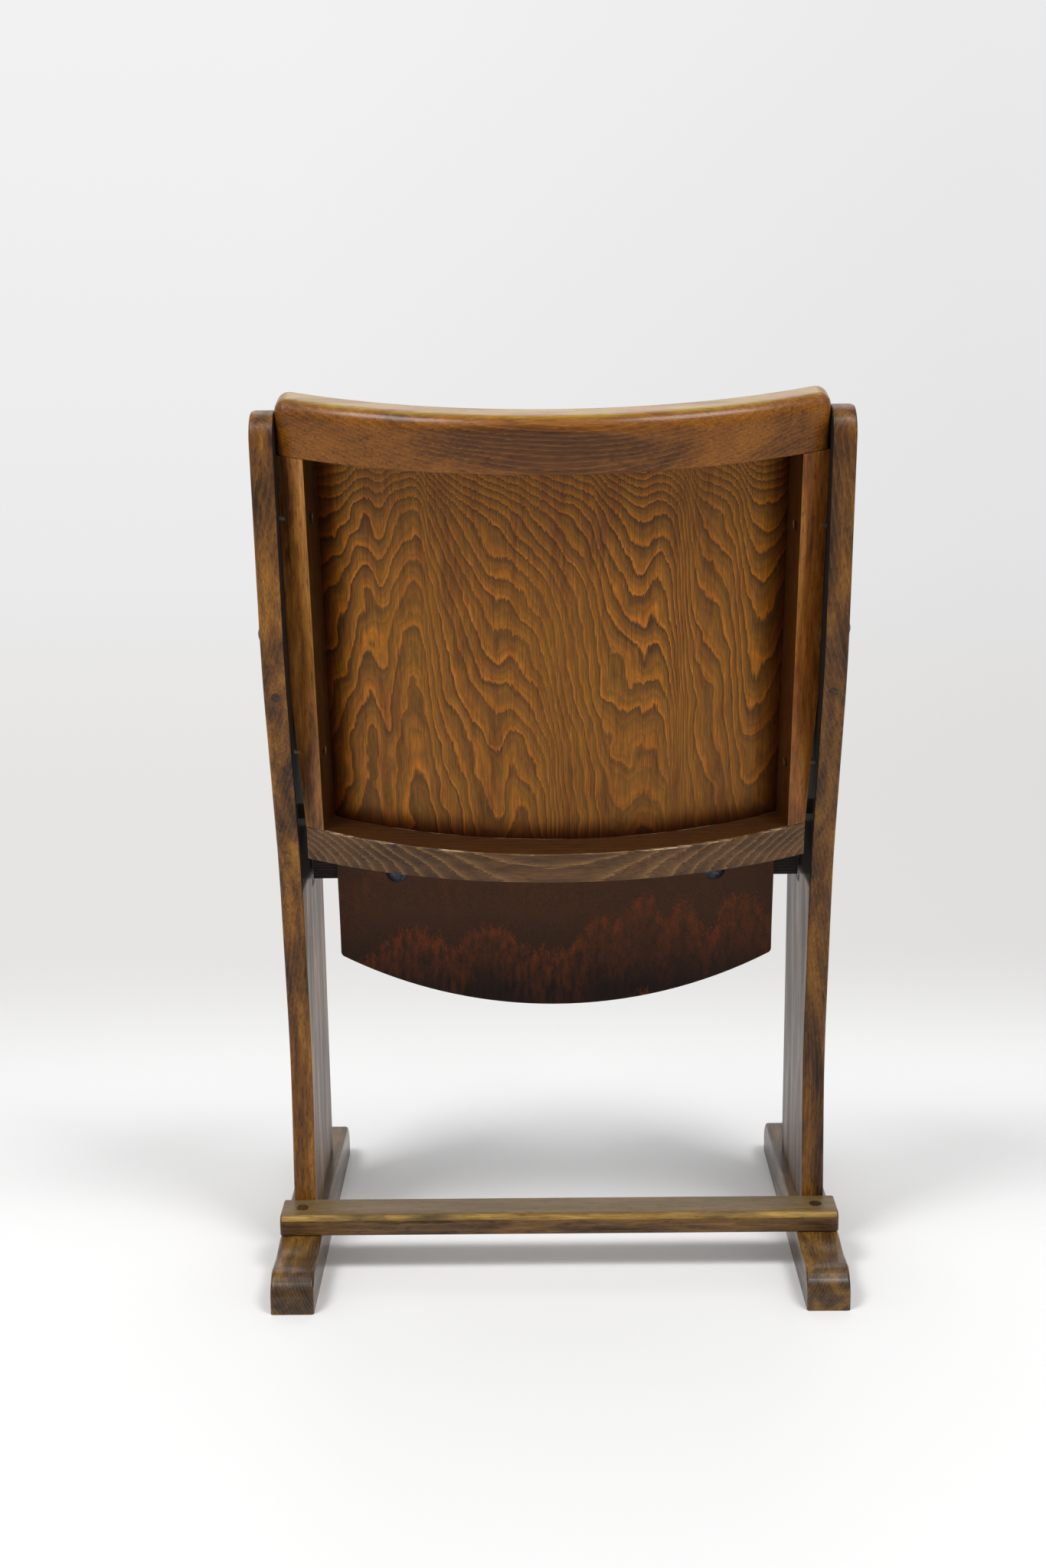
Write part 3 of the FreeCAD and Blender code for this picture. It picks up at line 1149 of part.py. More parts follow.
for side_name, side_sign in SIDES:
    add_foot(side_name, side_sign)
    add_board(side_name, side_sign)
    add_stile(side_name, side_sign)
    add_pivot_plate(side_name, side_sign)
    add_stop_block(side_name, side_sign)
add_crossbar()
add_crossbar_fasteners()
add_foot_dowels()
add_bottom_rail()
add_top_rail()
add_back_panel()
add_back_fasteners()
add_board_hardware()
add_seat_frame()
add_seat_panel()
add_seat_hardware()
check_and_write()
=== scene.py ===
"""Looks of a free-standing tip-up auditorium seat in stained beech.

It is seen from behind with its seat tipped up.
"""

from __future__ import annotations

import logging
import math
from dataclasses import dataclass, field
from enum import Enum
from typing import Any, Protocol

import bmesh
import bpy
from mathutils import Matrix, Vector


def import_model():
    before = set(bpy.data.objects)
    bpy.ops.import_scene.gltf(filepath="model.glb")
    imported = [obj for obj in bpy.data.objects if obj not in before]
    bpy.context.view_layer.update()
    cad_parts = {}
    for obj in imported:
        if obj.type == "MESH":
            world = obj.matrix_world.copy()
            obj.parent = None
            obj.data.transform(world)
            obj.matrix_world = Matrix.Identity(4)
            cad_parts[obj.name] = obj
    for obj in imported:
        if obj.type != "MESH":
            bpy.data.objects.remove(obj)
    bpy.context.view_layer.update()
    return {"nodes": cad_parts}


LOG = logging.getLogger("tip_up_seat")

PHOTO_HEIGHT_PX = 2048
MM = 0.001

# The lean of the back frame and of the raised seat, with the point that each is built on.
RAKE = math.radians(13.0)
SEAT_LEAN = math.radians(12.0)
BACK_BASE = Vector((0.0, 0.1385, 0.4125))
PIVOT = Vector((0.0, -0.0335, 0.404))

# Sockets of a Mix node, by number because their names repeat: colours first, then plain values.
FACTOR, FIRST, SECOND, MIXED = 0, 6, 7, 2
FIRST_VALUE, SECOND_VALUE = 2, 3

# Noise scales are counts in a metre. Real fibres, about 0.02 mm across, would be too fine to show,
# so the finest streaks are drawn coarser, 0.8 to 1.4 mm across.
FINE_SCALE = 1300.0
SOLID_FIBRE_SCALE = 1150.0
BACK_FIBRE_SCALE = 950.0
SEAT_FIBRE_SCALE = 700.0
FIBRE_DARK, FIBRE_LIGHT = 0.32, 0.68

# Worn satin varnish over wood.
VARNISH_IOR = 1.45

Links = dict[str | int, Any]
Nodes = dict[str, bpy.types.Object]
Curve = tuple[tuple[float, float], ...]


def linear(code: str) -> tuple[float, float, float, float]:
    """Turn an sRGB hex colour to linear values.

    Args:
        code: Six hex digits, such as "5b4026".

    Returns:
        Red, green, blue and an alpha of 1.
    """
    parts = [int(code[index:index + 2], 16) / 255 for index in (0, 2, 4)]
    red, green, blue = [
        part / 12.92 if part <= 0.04045 else ((part + 0.055) / 1.055) ** 2.4 for part in parts]
    return red, green, blue, 1.0


def add_node(tree: bpy.types.NodeTree, kind: str, settings: dict[str, Any], links: Links) -> bpy.types.Node:
    """Add one node to a tree.

    Args:
        tree: The tree that takes the node.
        kind: The node's type, without its ShaderNode prefix.
        settings: Values of the node's own properties.
        links: For each input, by name or index, a socket to link or a value to set.

    Returns:
        The new node.
    """
    node = tree.nodes.new("ShaderNode" + kind)
    for name, value in settings.items():
        setattr(node, name, value)
    for name, value in links.items():
        if isinstance(value, bpy.types.NodeSocket):
            tree.links.new(value, node.inputs[name])
        else:
            node.inputs[name].default_value = value
    return node


def noise_along(tree: bpy.types.NodeTree, place: bpy.types.NodeSocket, squeeze: float, scale: float,
                detail: float, roughness: float = 0.5, distortion: float = 0.0) -> bpy.types.NodeSocket:
    """Make noise that is drawn out along Z, as the figure of wood is along its grain.

    Args:
        tree: The tree that takes the nodes.
        place: Coordinates with the grain along Z.
        squeeze: The share of the scale that is left along Z.
        scale: Counts in a metre across the grain.
        detail: How many finer layers are added.
        roughness: How strong the finer layers are.
        distortion: How far the noise is stirred.

    Returns:
        The noise, about 0 to 1.
    """
    drawn = add_node(tree, "Mapping", {}, {"Vector": place, "Scale": (1.0, 1.0, squeeze)})
    noise = add_node(tree, "TexNoise", {}, {
        "Vector": drawn.outputs[0], "Scale": scale, "Detail": detail, "Roughness": roughness,
        "Distortion": distortion})
    return noise.outputs[0]


def set_stops(node: bpy.types.Node, stops: list[tuple[float, str]]) -> None:
    """Give a colour ramp its stops.

    Args:
        node: The ramp node.
        stops: Places from 0 to 1 with sRGB hex colours.
    """
    ramp = node.color_ramp
    while len(ramp.elements) > 1:
        ramp.elements.remove(ramp.elements[-1])
    ramp.elements[0].position = stops[0][0]
    ramp.elements[0].color = linear(stops[0][1])
    for place, code in stops[1:]:
        ramp.elements.new(place).color = linear(code)


def set_curve(node: bpy.types.Node, points: Curve) -> None:
    """Give a float curve its points, from 0 to 1 both ways.

    Args:
        node: The curve node.
        points: Places and heights, first and last included.
    """
    curve = node.mapping.curves[0]
    curve.points[0].location = points[0]
    curve.points[1].location = points[-1]
    for place in points[1:-1]:
        curve.points.new(*place)
    node.mapping.update()


class Grain(Enum):
    """The way a piece's fibres run, as turns about X, Y and Z that bring them upright."""

    UPRIGHT = (0.0, 0.0, 0.0)
    ACROSS = (0.0, -math.pi / 2, 0.0)
    FORWARD = (math.pi / 2, 0.0, 0.0)
    RAKED = (RAKE, 0.0, 0.0)
    SEAT = (-SEAT_LEAN, 0.0, 0.0)


class Finish(Protocol):
    """What a piece can be dressed in."""

    def build(self) -> bpy.types.Material:
        """Make the material.

        Returns:
            The new material.
        """


def new_material(name: str) -> tuple[bpy.types.Material, bpy.types.NodeTree]:
    """Make an empty node material.

    Args:
        name: Its name.

    Returns:
        The material and its tree.
    """
    material = bpy.data.materials.new(name)
    material.use_nodes = True
    material.node_tree.nodes.clear()
    return material, material.node_tree


def finish_material(tree: bpy.types.NodeTree, shader: bpy.types.Node) -> None:
    """Link a shader to a tree's surface output.

    Args:
        tree: The material's tree.
        shader: The node whose first output is the surface.
    """
    add_node(tree, "OutputMaterial", {}, {"Surface": shader.outputs[0]})


@dataclass(frozen=True)
class Tint:
    """A colour on the faces that look one way, such as painted shade in a recess, or wear and painted light
    along a top.
    """

    way: tuple[float, float, float]
    code: str
    amount: float = 0.8
    start: float = 0.55
    full: float = 0.9
    patchy: bool = False
    above: float | None = None


@dataclass(frozen=True)
class StainedBeech:
    """Solid beech under dark stain and worn satin varnish.

    It shows fine fibres, thin pale rings, blotches of stain and rubbed edges. The rings are drawn round
    a pith beside the piece, so each face shows the figure that its cut gives.
    """

    name: str
    grain: Grain
    dark: str = "2a190b"
    middle: str = "563a1c"
    light: str = "76501f"
    ring_code: str = "8f6c3c"
    worn: str = "a8833f"
    pith: tuple[float, float] = (0.03, 0.09)
    shift: float = 0.0
    ring_mm: float = 3.2
    ring_amount: float = 0.25
    ring_sway: float = 3.5
    ring_fray: float = 0.7
    blotch_mm: float = 26.0
    edge_wear: float = 0.75
    edge_mm: float = 1.6
    roughness: float = 0.36
    coat: float = 0.05
    coat_roughness: float = 0.18
    tints: tuple[Tint, ...] = ()

    # Waves about 45 mm apart, ray flecks about 2 mm across and rubbed patches about 10 mm across.
    sway_scale: float = 22.0
    fleck_scale: float = 520.0
    rub_scale: float = 95.0
    squeeze: float = 0.15

    def build(self) -> bpy.types.Material:
        """Make the material.

        Returns:
            The new material.
        """
        material, tree = new_material(self.name)
        place = add_node(tree, "TexCoord", {}, {}).outputs["Object"]
        turned = add_node(tree, "Mapping", {}, {
            "Vector": place, "Rotation": self.grain.value, "Location": (*self.pith, self.shift)}).outputs[0]
        fibre = noise_along(tree, turned, 0.035, SOLID_FIBRE_SCALE, 3.0, 0.6)
        blotch = noise_along(tree, turned, self.squeeze, 1000.0 / self.blotch_mm, 6.0, 0.66, 0.4)
        rub = noise_along(tree, turned, self.squeeze, self.rub_scale, 4.0)
        phase = self.count_rings(tree, turned, fibre)
        lines = self.draw_lines(tree, turned, fibre)
        stained = self.stain(tree, blotch, phase, lines)
        tinted, dull = self.lay_tints(tree, place, rub, lines, stained)
        colour = self.rub_edges(tree, rub, tinted)

        gloss = add_node(tree, "MapRange", {}, {
            "Value": blotch, "From Min": 0.3, "From Max": 0.7, "To Min": self.roughness + 0.1,
            "To Max": self.roughness - 0.06})
        rough = add_node(tree, "Math", {"operation": "MAXIMUM"}, {0: gloss.outputs[0], 1: dull})
        height = add_node(tree, "Math", {"operation": "MULTIPLY_ADD"}, {0: phase, 1: -0.2, 2: fibre})
        bump = add_node(tree, "Bump", {}, {
            "Strength": 0.3, "Distance": 0.25 * MM, "Height": height.outputs[0]})
        shader = add_node(tree, "BsdfPrincipled", {}, {
            "Base Color": colour, "Roughness": rough.outputs[0], "Normal": bump.outputs[0],
            "IOR": VARNISH_IOR, "Specular IOR Level": 0.28, "Coat Weight": self.coat,
            "Coat Roughness": self.coat_roughness})
        finish_material(tree, shader)
        return material

    def count_rings(self, tree: bpy.types.NodeTree, turned: bpy.types.NodeSocket,
                    fibre: bpy.types.NodeSocket) -> bpy.types.NodeSocket:
        """Tell how far a point lies between one ring's pale line, at 0, and the next, at 1.

        Args:
            tree: The material's tree.
            turned: Coordinates with the grain along Z.
            fibre: Noise of the fibres, which frays the rings.

        Returns:
            That share, from 0 to 1.
        """
        sway = noise_along(tree, turned, self.squeeze, self.sway_scale, 3.0)
        parts = add_node(tree, "SeparateXYZ", {}, {0: turned})
        flat = add_node(tree, "CombineXYZ", {}, {"X": parts.outputs["X"], "Y": parts.outputs["Y"]})
        reach = add_node(tree, "VectorMath", {"operation": "LENGTH"}, {0: flat.outputs[0]})
        ring_gap = self.ring_mm * MM
        bend = add_node(tree, "Math", {"operation": "MULTIPLY_ADD"}, {
            0: sway, 1: self.ring_sway * ring_gap, 2: reach.outputs["Value"]})
        frayed = add_node(tree, "Math", {"operation": "MULTIPLY_ADD"}, {
            0: fibre, 1: self.ring_fray * ring_gap, 2: bend.outputs[0]})
        rings = add_node(tree, "Math", {"operation": "DIVIDE"}, {0: frayed.outputs[0], 1: ring_gap})
        return add_node(tree, "Math", {"operation": "FRACT"}, {0: rings.outputs[0]}).outputs[0]

    def draw_lines(self, tree: bpy.types.NodeTree, turned: bpy.types.NodeSocket,
                   fibre: bpy.types.NodeSocket) -> bpy.types.NodeSocket:
        """Make the light and dark streaks of the fibres, with short dark ray flecks among them.

        Args:
            tree: The material's tree.
            turned: Coordinates with the grain along Z.
            fibre: Noise of the fibres.

        Returns:
            A factor for the colour, about 1.
        """
        fibres = add_node(tree, "MapRange", {}, {
            "Value": fibre, "From Min": FIBRE_DARK, "From Max": FIBRE_LIGHT, "To Min": 0.62, "To Max": 1.34})
        fleck = noise_along(tree, turned, 0.2, self.fleck_scale, 1.0)
        flecks = add_node(tree, "MapRange", {}, {
            "Value": fleck, "From Min": 0.60, "From Max": 0.70, "To Min": 1.0, "To Max": 0.62})
        lines = add_node(tree, "Math", {"operation": "MULTIPLY"}, {
            0: fibres.outputs[0], 1: flecks.outputs[0]})
        return lines.outputs[0]

    def stain(self, tree: bpy.types.NodeTree, blotch: bpy.types.NodeSocket, phase: bpy.types.NodeSocket,
              lines: bpy.types.NodeSocket) -> bpy.types.NodeSocket:
        """Colour the wood in blotches, with a pale line for each ring and the fibres over all.

        Args:
            tree: The material's tree.
            blotch: Noise that sets where the stain took.
            phase: The place between two rings.
            lines: The streaks of the fibres.

        Returns:
            The wood's colour.
        """
        ring = add_node(tree, "ValToRGB", {}, {0: phase})
        set_stops(ring, [
            (0.0, "ffffff"), (0.16, "909090"), (0.45, "202020"), (0.9, "000000"), (1.0, "c0c0c0")])
        stain = add_node(tree, "ValToRGB", {}, {0: blotch})
        set_stops(stain, [(0.36, self.dark), (0.49, self.middle), (0.62, self.light)])
        pale = add_node(tree, "Math", {"operation": "MULTIPLY"}, {0: ring.outputs[0], 1: self.ring_amount})
        ringed = add_node(tree, "Mix", {"data_type": "RGBA"}, {
            FACTOR: pale.outputs[0], FIRST: stain.outputs[0], SECOND: linear(self.ring_code)})
        body = add_node(tree, "Mix", {"data_type": "RGBA", "blend_type": "MULTIPLY"}, {
            FACTOR: 1.0, FIRST: ringed.outputs[MIXED], SECOND: lines})
        return body.outputs[MIXED]

    def lay_tints(self, tree: bpy.types.NodeTree, place: bpy.types.NodeSocket, rub: bpy.types.NodeSocket,
                  lines: bpy.types.NodeSocket, colour: bpy.types.NodeSocket) -> tuple[Any, Any]:
        """Lay each tint, whether painted shade, painted light or wear, on the faces that look its way.

        Args:
            tree: The material's tree.
            place: Coordinates of the whole object, for tints that stop at a height.
            rub: Noise that breaks up the patchy tints.
            lines: The streaks of the fibres.
            colour: The colour so far.

        Returns:
            The tinted colour, and how far the varnish is dulled.
        """
        patches = add_node(tree, "MapRange", {}, {
            "Value": rub, "From Min": 0.38, "From Max": 0.60, "To Min": 0.15, "To Max": 1.0})
        surface = add_node(tree, "NewGeometry", {}, {})
        rise = add_node(tree, "SeparateXYZ", {}, {0: place}).outputs["Z"]
        fade_height = 12.0 * MM
        dull = 0.0
        for tint in self.tints:
            facing = add_node(tree, "VectorMath", {"operation": "DOT_PRODUCT"}, {
                0: surface.outputs["Normal"], 1: tuple(Vector(tint.way).normalized())})
            amount = add_node(tree, "MapRange", {"interpolation_type": "SMOOTHSTEP"}, {
                "Value": facing.outputs["Value"], "From Min": tint.start, "From Max": tint.full,
                "To Min": 0.0, "To Max": tint.amount})
            part = add_node(tree, "Math", {"operation": "MULTIPLY"}, {
                0: amount.outputs[0], 1: patches.outputs[0] if tint.patchy else 1.0})
            if tint.above is not None:
                level = add_node(tree, "MapRange", {}, {
                    "Value": rise, "From Min": tint.above, "From Max": tint.above + fade_height})
                part = add_node(tree, "Math", {"operation": "MULTIPLY"}, {
                    0: part.outputs[0], 1: level.outputs[0]})
                dull = add_node(tree, "Math", {"operation": "MAXIMUM"}, {
                    0: dull, 1: part.outputs[0]}).outputs[0]
            toned = add_node(tree, "Mix", {"data_type": "RGBA", "blend_type": "MULTIPLY"}, {
                FACTOR: 0.75, FIRST: linear(tint.code), SECOND: lines})
            colour = add_node(tree, "Mix", {"data_type": "RGBA"}, {
                FACTOR: part.outputs[0], FIRST: colour, SECOND: toned.outputs[MIXED]}).outputs[MIXED]
        return colour, dull

    def rub_edges(self, tree: bpy.types.NodeTree, rub: bpy.types.NodeSocket,
                  colour: bpy.types.NodeSocket) -> bpy.types.NodeSocket:
        """Rub the edges back to paler wood, here and there.

        Args:
            tree: The material's tree.
            rub: Noise that sets where.
            colour: The colour so far.

        Returns:
            The colour with worn edges.
        """
        surface = add_node(tree, "NewGeometry", {}, {})
        soft = add_node(tree, "Bevel", {"samples": 6}, {"Radius": self.edge_mm * MM})
        turn = add_node(tree, "VectorMath", {"operation": "DOT_PRODUCT"}, {
            0: soft.outputs[0], 1: surface.outputs["True Normal"]})
        edge = add_node(tree, "MapRange", {}, {
            "Value": turn.outputs["Value"], "From Min": 0.97, "From Max": 0.80})
        rubs = add_node(tree, "MapRange", {}, {
            "Value": rub, "From Min": 0.46, "From Max": 0.58, "To Min": 0.0, "To Max": self.edge_wear})
        wear = add_node(tree, "Math", {"operation": "MULTIPLY"}, {0: edge.outputs[0], 1: rubs.outputs[0]})
        edged = add_node(tree, "Mix", {"data_type": "RGBA"}, {
            FACTOR: wear.outputs[0], FIRST: colour, SECOND: linear(self.worn)})
        return edged.outputs[MIXED]


@dataclass(frozen=True)
class BackVeneer:
    """Rotary-cut beech veneer under orange-brown varnish: broad flames whose edges break into fine teeth.

    The figure is a set of level lines of one slowly rising field. Each line is amber, then darkens to the
    next. The field climbs with height and has a profile across the panel, other at the top than at the foot.
    """

    name: str = "back_veneer"
    low: float = 0.0355
    high: float = 0.4037
    half: float = 0.2225
    lines: float = 34.0
    rise: Curve = (
        (0.0, 0.0), (0.37, 0.05), (0.62, 0.10), (0.74, 0.134), (0.82, 0.167), (0.89, 0.20), (0.93, 0.24),
        (1.0, 0.34))
    across_low: Curve = (
        (0.0, 0.10), (0.06, 0.06), (0.11, 0.03), (0.14, 0.055), (0.18, 0.02), (0.22, 0.01), (0.28, 0.04),
        (0.37, 0.12), (0.42, 0.08), (0.46, 0.11), (0.54, 0.34), (0.64, 0.43), (0.69, 0.41), (0.73, 0.43),
        (0.78, 0.67), (0.85, 0.74), (0.93, 0.82), (1.0, 0.76))
    across_high: Curve = (
        (0.0, 0.13), (0.06, 0.10), (0.12, 0.05), (0.145, 0.065), (0.18, 0.03), (0.22, 0.01), (0.25, 0.09),
        (0.31, 0.20), (0.40, 0.27), (0.48, 0.345), (0.55, 0.38), (0.63, 0.49), (0.68, 0.53), (0.71, 0.515),
        (0.75, 0.56), (0.80, 0.71), (0.86, 0.76), (0.93, 0.89), (1.0, 0.84))

    # Waves about 60 mm and 14 mm apart, calm clouds about 110 mm across and streaks about 17 mm across.
    sway_scale: float = 17.0
    ripple_scale: float = 70.0
    cloud_scale: float = 9.0
    streak_scale: float = 60.0

    def build(self) -> bpy.types.Material:
        """Make the material.

        Returns:
            The new material.
        """
        material, tree = new_material(self.name)
        place = add_node(tree, "TexCoord", {}, {}).outputs["Object"]
        origin = Matrix.Rotation(RAKE, 3, "X") @ BACK_BASE
        upright = add_node(tree, "Mapping", {}, {
            "Vector": place, "Rotation": Grain.RAKED.value, "Location": -origin}).outputs[0]
        parts = add_node(tree, "SeparateXYZ", {}, {0: upright})
        fine = noise_along(tree, upright, 0.025, FINE_SCALE, 3.0, 0.65)
        field_ = self.raise_field(tree, upright, parts)
        figured = self.draw_flames(tree, upright, parts, field_)
        toned = self.tone(tree, upright, fine, figured)
        colour = self.darken_rims_polish_and_shade(tree, parts, toned)

        bump = add_node(tree, "Bump", {}, {"Strength": 0.2, "Distance": 0.2 * MM, "Height": fine})
        shader = add_node(tree, "BsdfPrincipled", {}, {
            "Base Color": colour, "Roughness": 0.4, "Normal": bump.outputs[0], "IOR": VARNISH_IOR,
            "Specular IOR Level": 0.22, "Coat Weight": 0.04, "Coat Roughness": 0.2})
        finish_material(tree, shader)
        return material

    def raise_field(self, tree: bpy.types.NodeTree, upright: bpy.types.NodeSocket,
                    parts: bpy.types.Node) -> bpy.types.NodeSocket:
        """Make the field whose level lines are the flames, counted in lines.

        Args:
            tree: The material's tree.
            upright: Coordinates with the grain along Z, from the piece's base.
            parts: The node that splits those coordinates.

        Returns:
            The field.
        """
        fibre = noise_along(tree, upright, 0.025, BACK_FIBRE_SCALE, 3.0, 0.6)
        sway = noise_along(tree, upright, 0.6, self.sway_scale, 2.0, 0.45)
        ripple = noise_along(tree, upright, 0.6, self.ripple_scale, 2.0)
        reach = add_node(tree, "MapRange", {}, {
            "Value": parts.outputs["Z"], "From Min": 0.20, "From Max": self.high, "To Min": 17.0 * MM,
            "To Max": 7.0 * MM})
        teeth = add_node(tree, "Math", {"operation": "MULTIPLY_ADD"}, {
            0: fibre, 1: reach.outputs[0], 2: parts.outputs["Z"]})
        height = add_node(tree, "MapRange", {"clamp": False}, {
            "Value": teeth.outputs[0], "From Min": self.low, "From Max": self.high})
        across = add_node(tree, "MapRange", {}, {
            "Value": parts.outputs["X"], "From Min": self.half, "From Max": -self.half})
        rise = add_node(tree, "FloatCurve", {}, {"Value": height.outputs[0]})
        set_curve(rise, self.rise)
        below = add_node(tree, "FloatCurve", {}, {"Value": across.outputs[0]})
        set_curve(below, self.across_low)
        above = add_node(tree, "FloatCurve", {}, {"Value": across.outputs[0]})
        set_curve(above, self.across_high)
        profile = add_node(tree, "Mix", {"data_type": "FLOAT"}, {
            FACTOR: height.outputs[0], FIRST_VALUE: below.outputs[0], SECOND_VALUE: above.outputs[0]})
        climb = add_node(tree, "Math", {"operation": "ADD"}, {0: rise.outputs[0], 1: profile.outputs[0]})
        counted = add_node(tree, "Math", {"operation": "MULTIPLY"}, {0: climb.outputs[0], 1: self.lines})
        swayed = add_node(tree, "Math", {"operation": "MULTIPLY_ADD"}, {
            0: sway, 1: 3.0, 2: counted.outputs[0]})
        rippled = add_node(tree, "Math", {"operation": "MULTIPLY_ADD"}, {
            0: ripple, 1: 0.7, 2: swayed.outputs[0]})
        return rippled.outputs[0]

    def draw_flames(self, tree: bpy.types.NodeTree, upright: bpy.types.NodeSocket, parts: bpy.types.Node,
                    field_: bpy.types.NodeSocket) -> bpy.types.NodeSocket:
        """Draw the flames' bands, with finer ones between them, calmer in clouds and low on the panel.

        Args:
            tree: The material's tree.
            upright: Coordinates with the grain along Z, from the piece's base.
            parts: The node that splits those coordinates.
            field_: The field whose level lines they follow.

        Returns:
            The veneer's colour.
        """
        phase = add_node(tree, "Math", {"operation": "FRACT"}, {0: field_})
        band = add_node(tree, "ValToRGB", {}, {0: phase.outputs[0]})
        set_stops(band, [
            (0.0, "cc8020"), (0.07, "b87418"), (0.24, "9a6618"), (0.6, "82581c"), (0.93, "553814"),
            (1.0, "a87020")])
        doubled = add_node(tree, "Math", {"operation": "MULTIPLY"}, {0: field_, 1: 2.63})
        second = add_node(tree, "Math", {"operation": "FRACT"}, {0: doubled.outputs[0]})
        finer = add_node(tree, "ValToRGB", {}, {0: second.outputs[0]})
        set_stops(finer, [
            (0.0, "ffe0b0"), (0.14, "e8d0b0"), (0.6, "c8c0b8"), (0.95, "a8a09c"), (1.0, "d8c8a8")])
        cloud = noise_along(tree, upright, 0.6, self.cloud_scale, 3.0)
        calm = add_node(tree, "MapRange", {}, {
            "Value": cloud, "From Min": 0.36, "From Max": 0.6, "To Min": 0.5, "To Max": 1.0})
        low_down = add_node(tree, "MapRange", {"interpolation_type": "SMOOTHSTEP"}, {
            "Value": parts.outputs["Z"], "From Min": 0.10, "From Max": 0.24, "To Min": 0.75, "To Max": 1.0})
        calmed = add_node(tree, "Math", {"operation": "MULTIPLY"}, {
            0: calm.outputs[0], 1: low_down.outputs[0]})
        eased = add_node(tree, "Mix", {"data_type": "RGBA"}, {
            FACTOR: calmed.outputs[0], FIRST: linear("8a5e1a"), SECOND: band.outputs[0]})
        paired = add_node(tree, "Mix", {"data_type": "RGBA", "blend_type": "MULTIPLY"}, {
            FACTOR: 0.6, FIRST: eased.outputs[MIXED], SECOND: finer.outputs[0]})
        return paired.outputs[MIXED]

    def tone(self, tree: bpy.types.NodeTree, upright: bpy.types.NodeSocket, fine: bpy.types.NodeSocket,
             colour: bpy.types.NodeSocket) -> bpy.types.NodeSocket:
        """Lay fine fibres over the flames, and long streaks of browner and yellower varnish.

        Args:
            tree: The material's tree.
            upright: Coordinates with the grain along Z, from the piece's base.
            fine: Noise of the fibres.
            colour: The colour so far.

        Returns:
            The toned colour.
        """
        fibres = add_node(tree, "MapRange", {}, {
            "Value": fine, "From Min": FIBRE_DARK, "From Max": FIBRE_LIGHT, "To Min": 0.62, "To Max": 1.40})
        grained = add_node(tree, "Mix", {"data_type": "RGBA", "blend_type": "MULTIPLY"}, {
            FACTOR: 1.0, FIRST: colour, SECOND: fibres.outputs[0]})
        streak = noise_along(tree, upright, 0.12, self.streak_scale, 5.0, 0.7)
        tints = add_node(tree, "ValToRGB", {}, {0: streak})
        set_stops(tints, [(0.34, "d8c498"), (0.5, "fff6dc"), (0.64, "fffcc0")])
        tinted = add_node(tree, "Mix", {"data_type": "RGBA", "blend_type": "MULTIPLY"}, {
            FACTOR: 1.0, FIRST: grained.outputs[MIXED], SECOND: tints.outputs[0]})
        return tinted.outputs[MIXED]

    def darken_rims_polish_and_shade(self, tree: bpy.types.NodeTree, parts: bpy.types.Node,
                    colour: bpy.types.NodeSocket) -> bpy.types.NodeSocket:
        """Darken the panel beside the stiles and along the rails: partly old polish gathered there, partly
        painted shade in the frame's recess.

        Args:
            tree: The material's tree.
            parts: The node that splits the panel's coordinates.
            colour: The colour so far.

        Returns:
            The darkened colour.
        """
        inward = add_node(tree, "Math", {"operation": "ABSOLUTE"}, {0: parts.outputs["X"]})
        borders = (
            (inward.outputs[0], 0.185, 0.217, 1.0),
            (parts.outputs["Z"], 0.062, 0.034, 1.0),
            (parts.outputs["Z"], 0.392, 0.406, 0.7),
        )
        side, foot, top = [
            add_node(tree, "MapRange", {"interpolation_type": "SMOOTHSTEP"}, {
                "Value": value, "From Min": start, "From Max": full, "To Max": amount}).outputs[0]
            for value, start, full, amount in borders]
        rim = add_node(tree, "Math", {"operation": "MAXIMUM"}, {0: side, 1: foot})
        rims = add_node(tree, "Math", {"operation": "MAXIMUM"}, {0: rim.outputs[0], 1: top})
        shade = add_node(tree, "Math", {"operation": "MULTIPLY"}, {0: rims.outputs[0], 1: 0.95})
        # Painted shade with gathered polish: the rims are multiplied toward dark red-brown.
        shaded = add_node(tree, "Mix", {"data_type": "RGBA", "blend_type": "MULTIPLY"}, {
            FACTOR: shade.outputs[0], FIRST: colour, SECOND: linear("6a3018")})
        return shaded.outputs[MIXED]


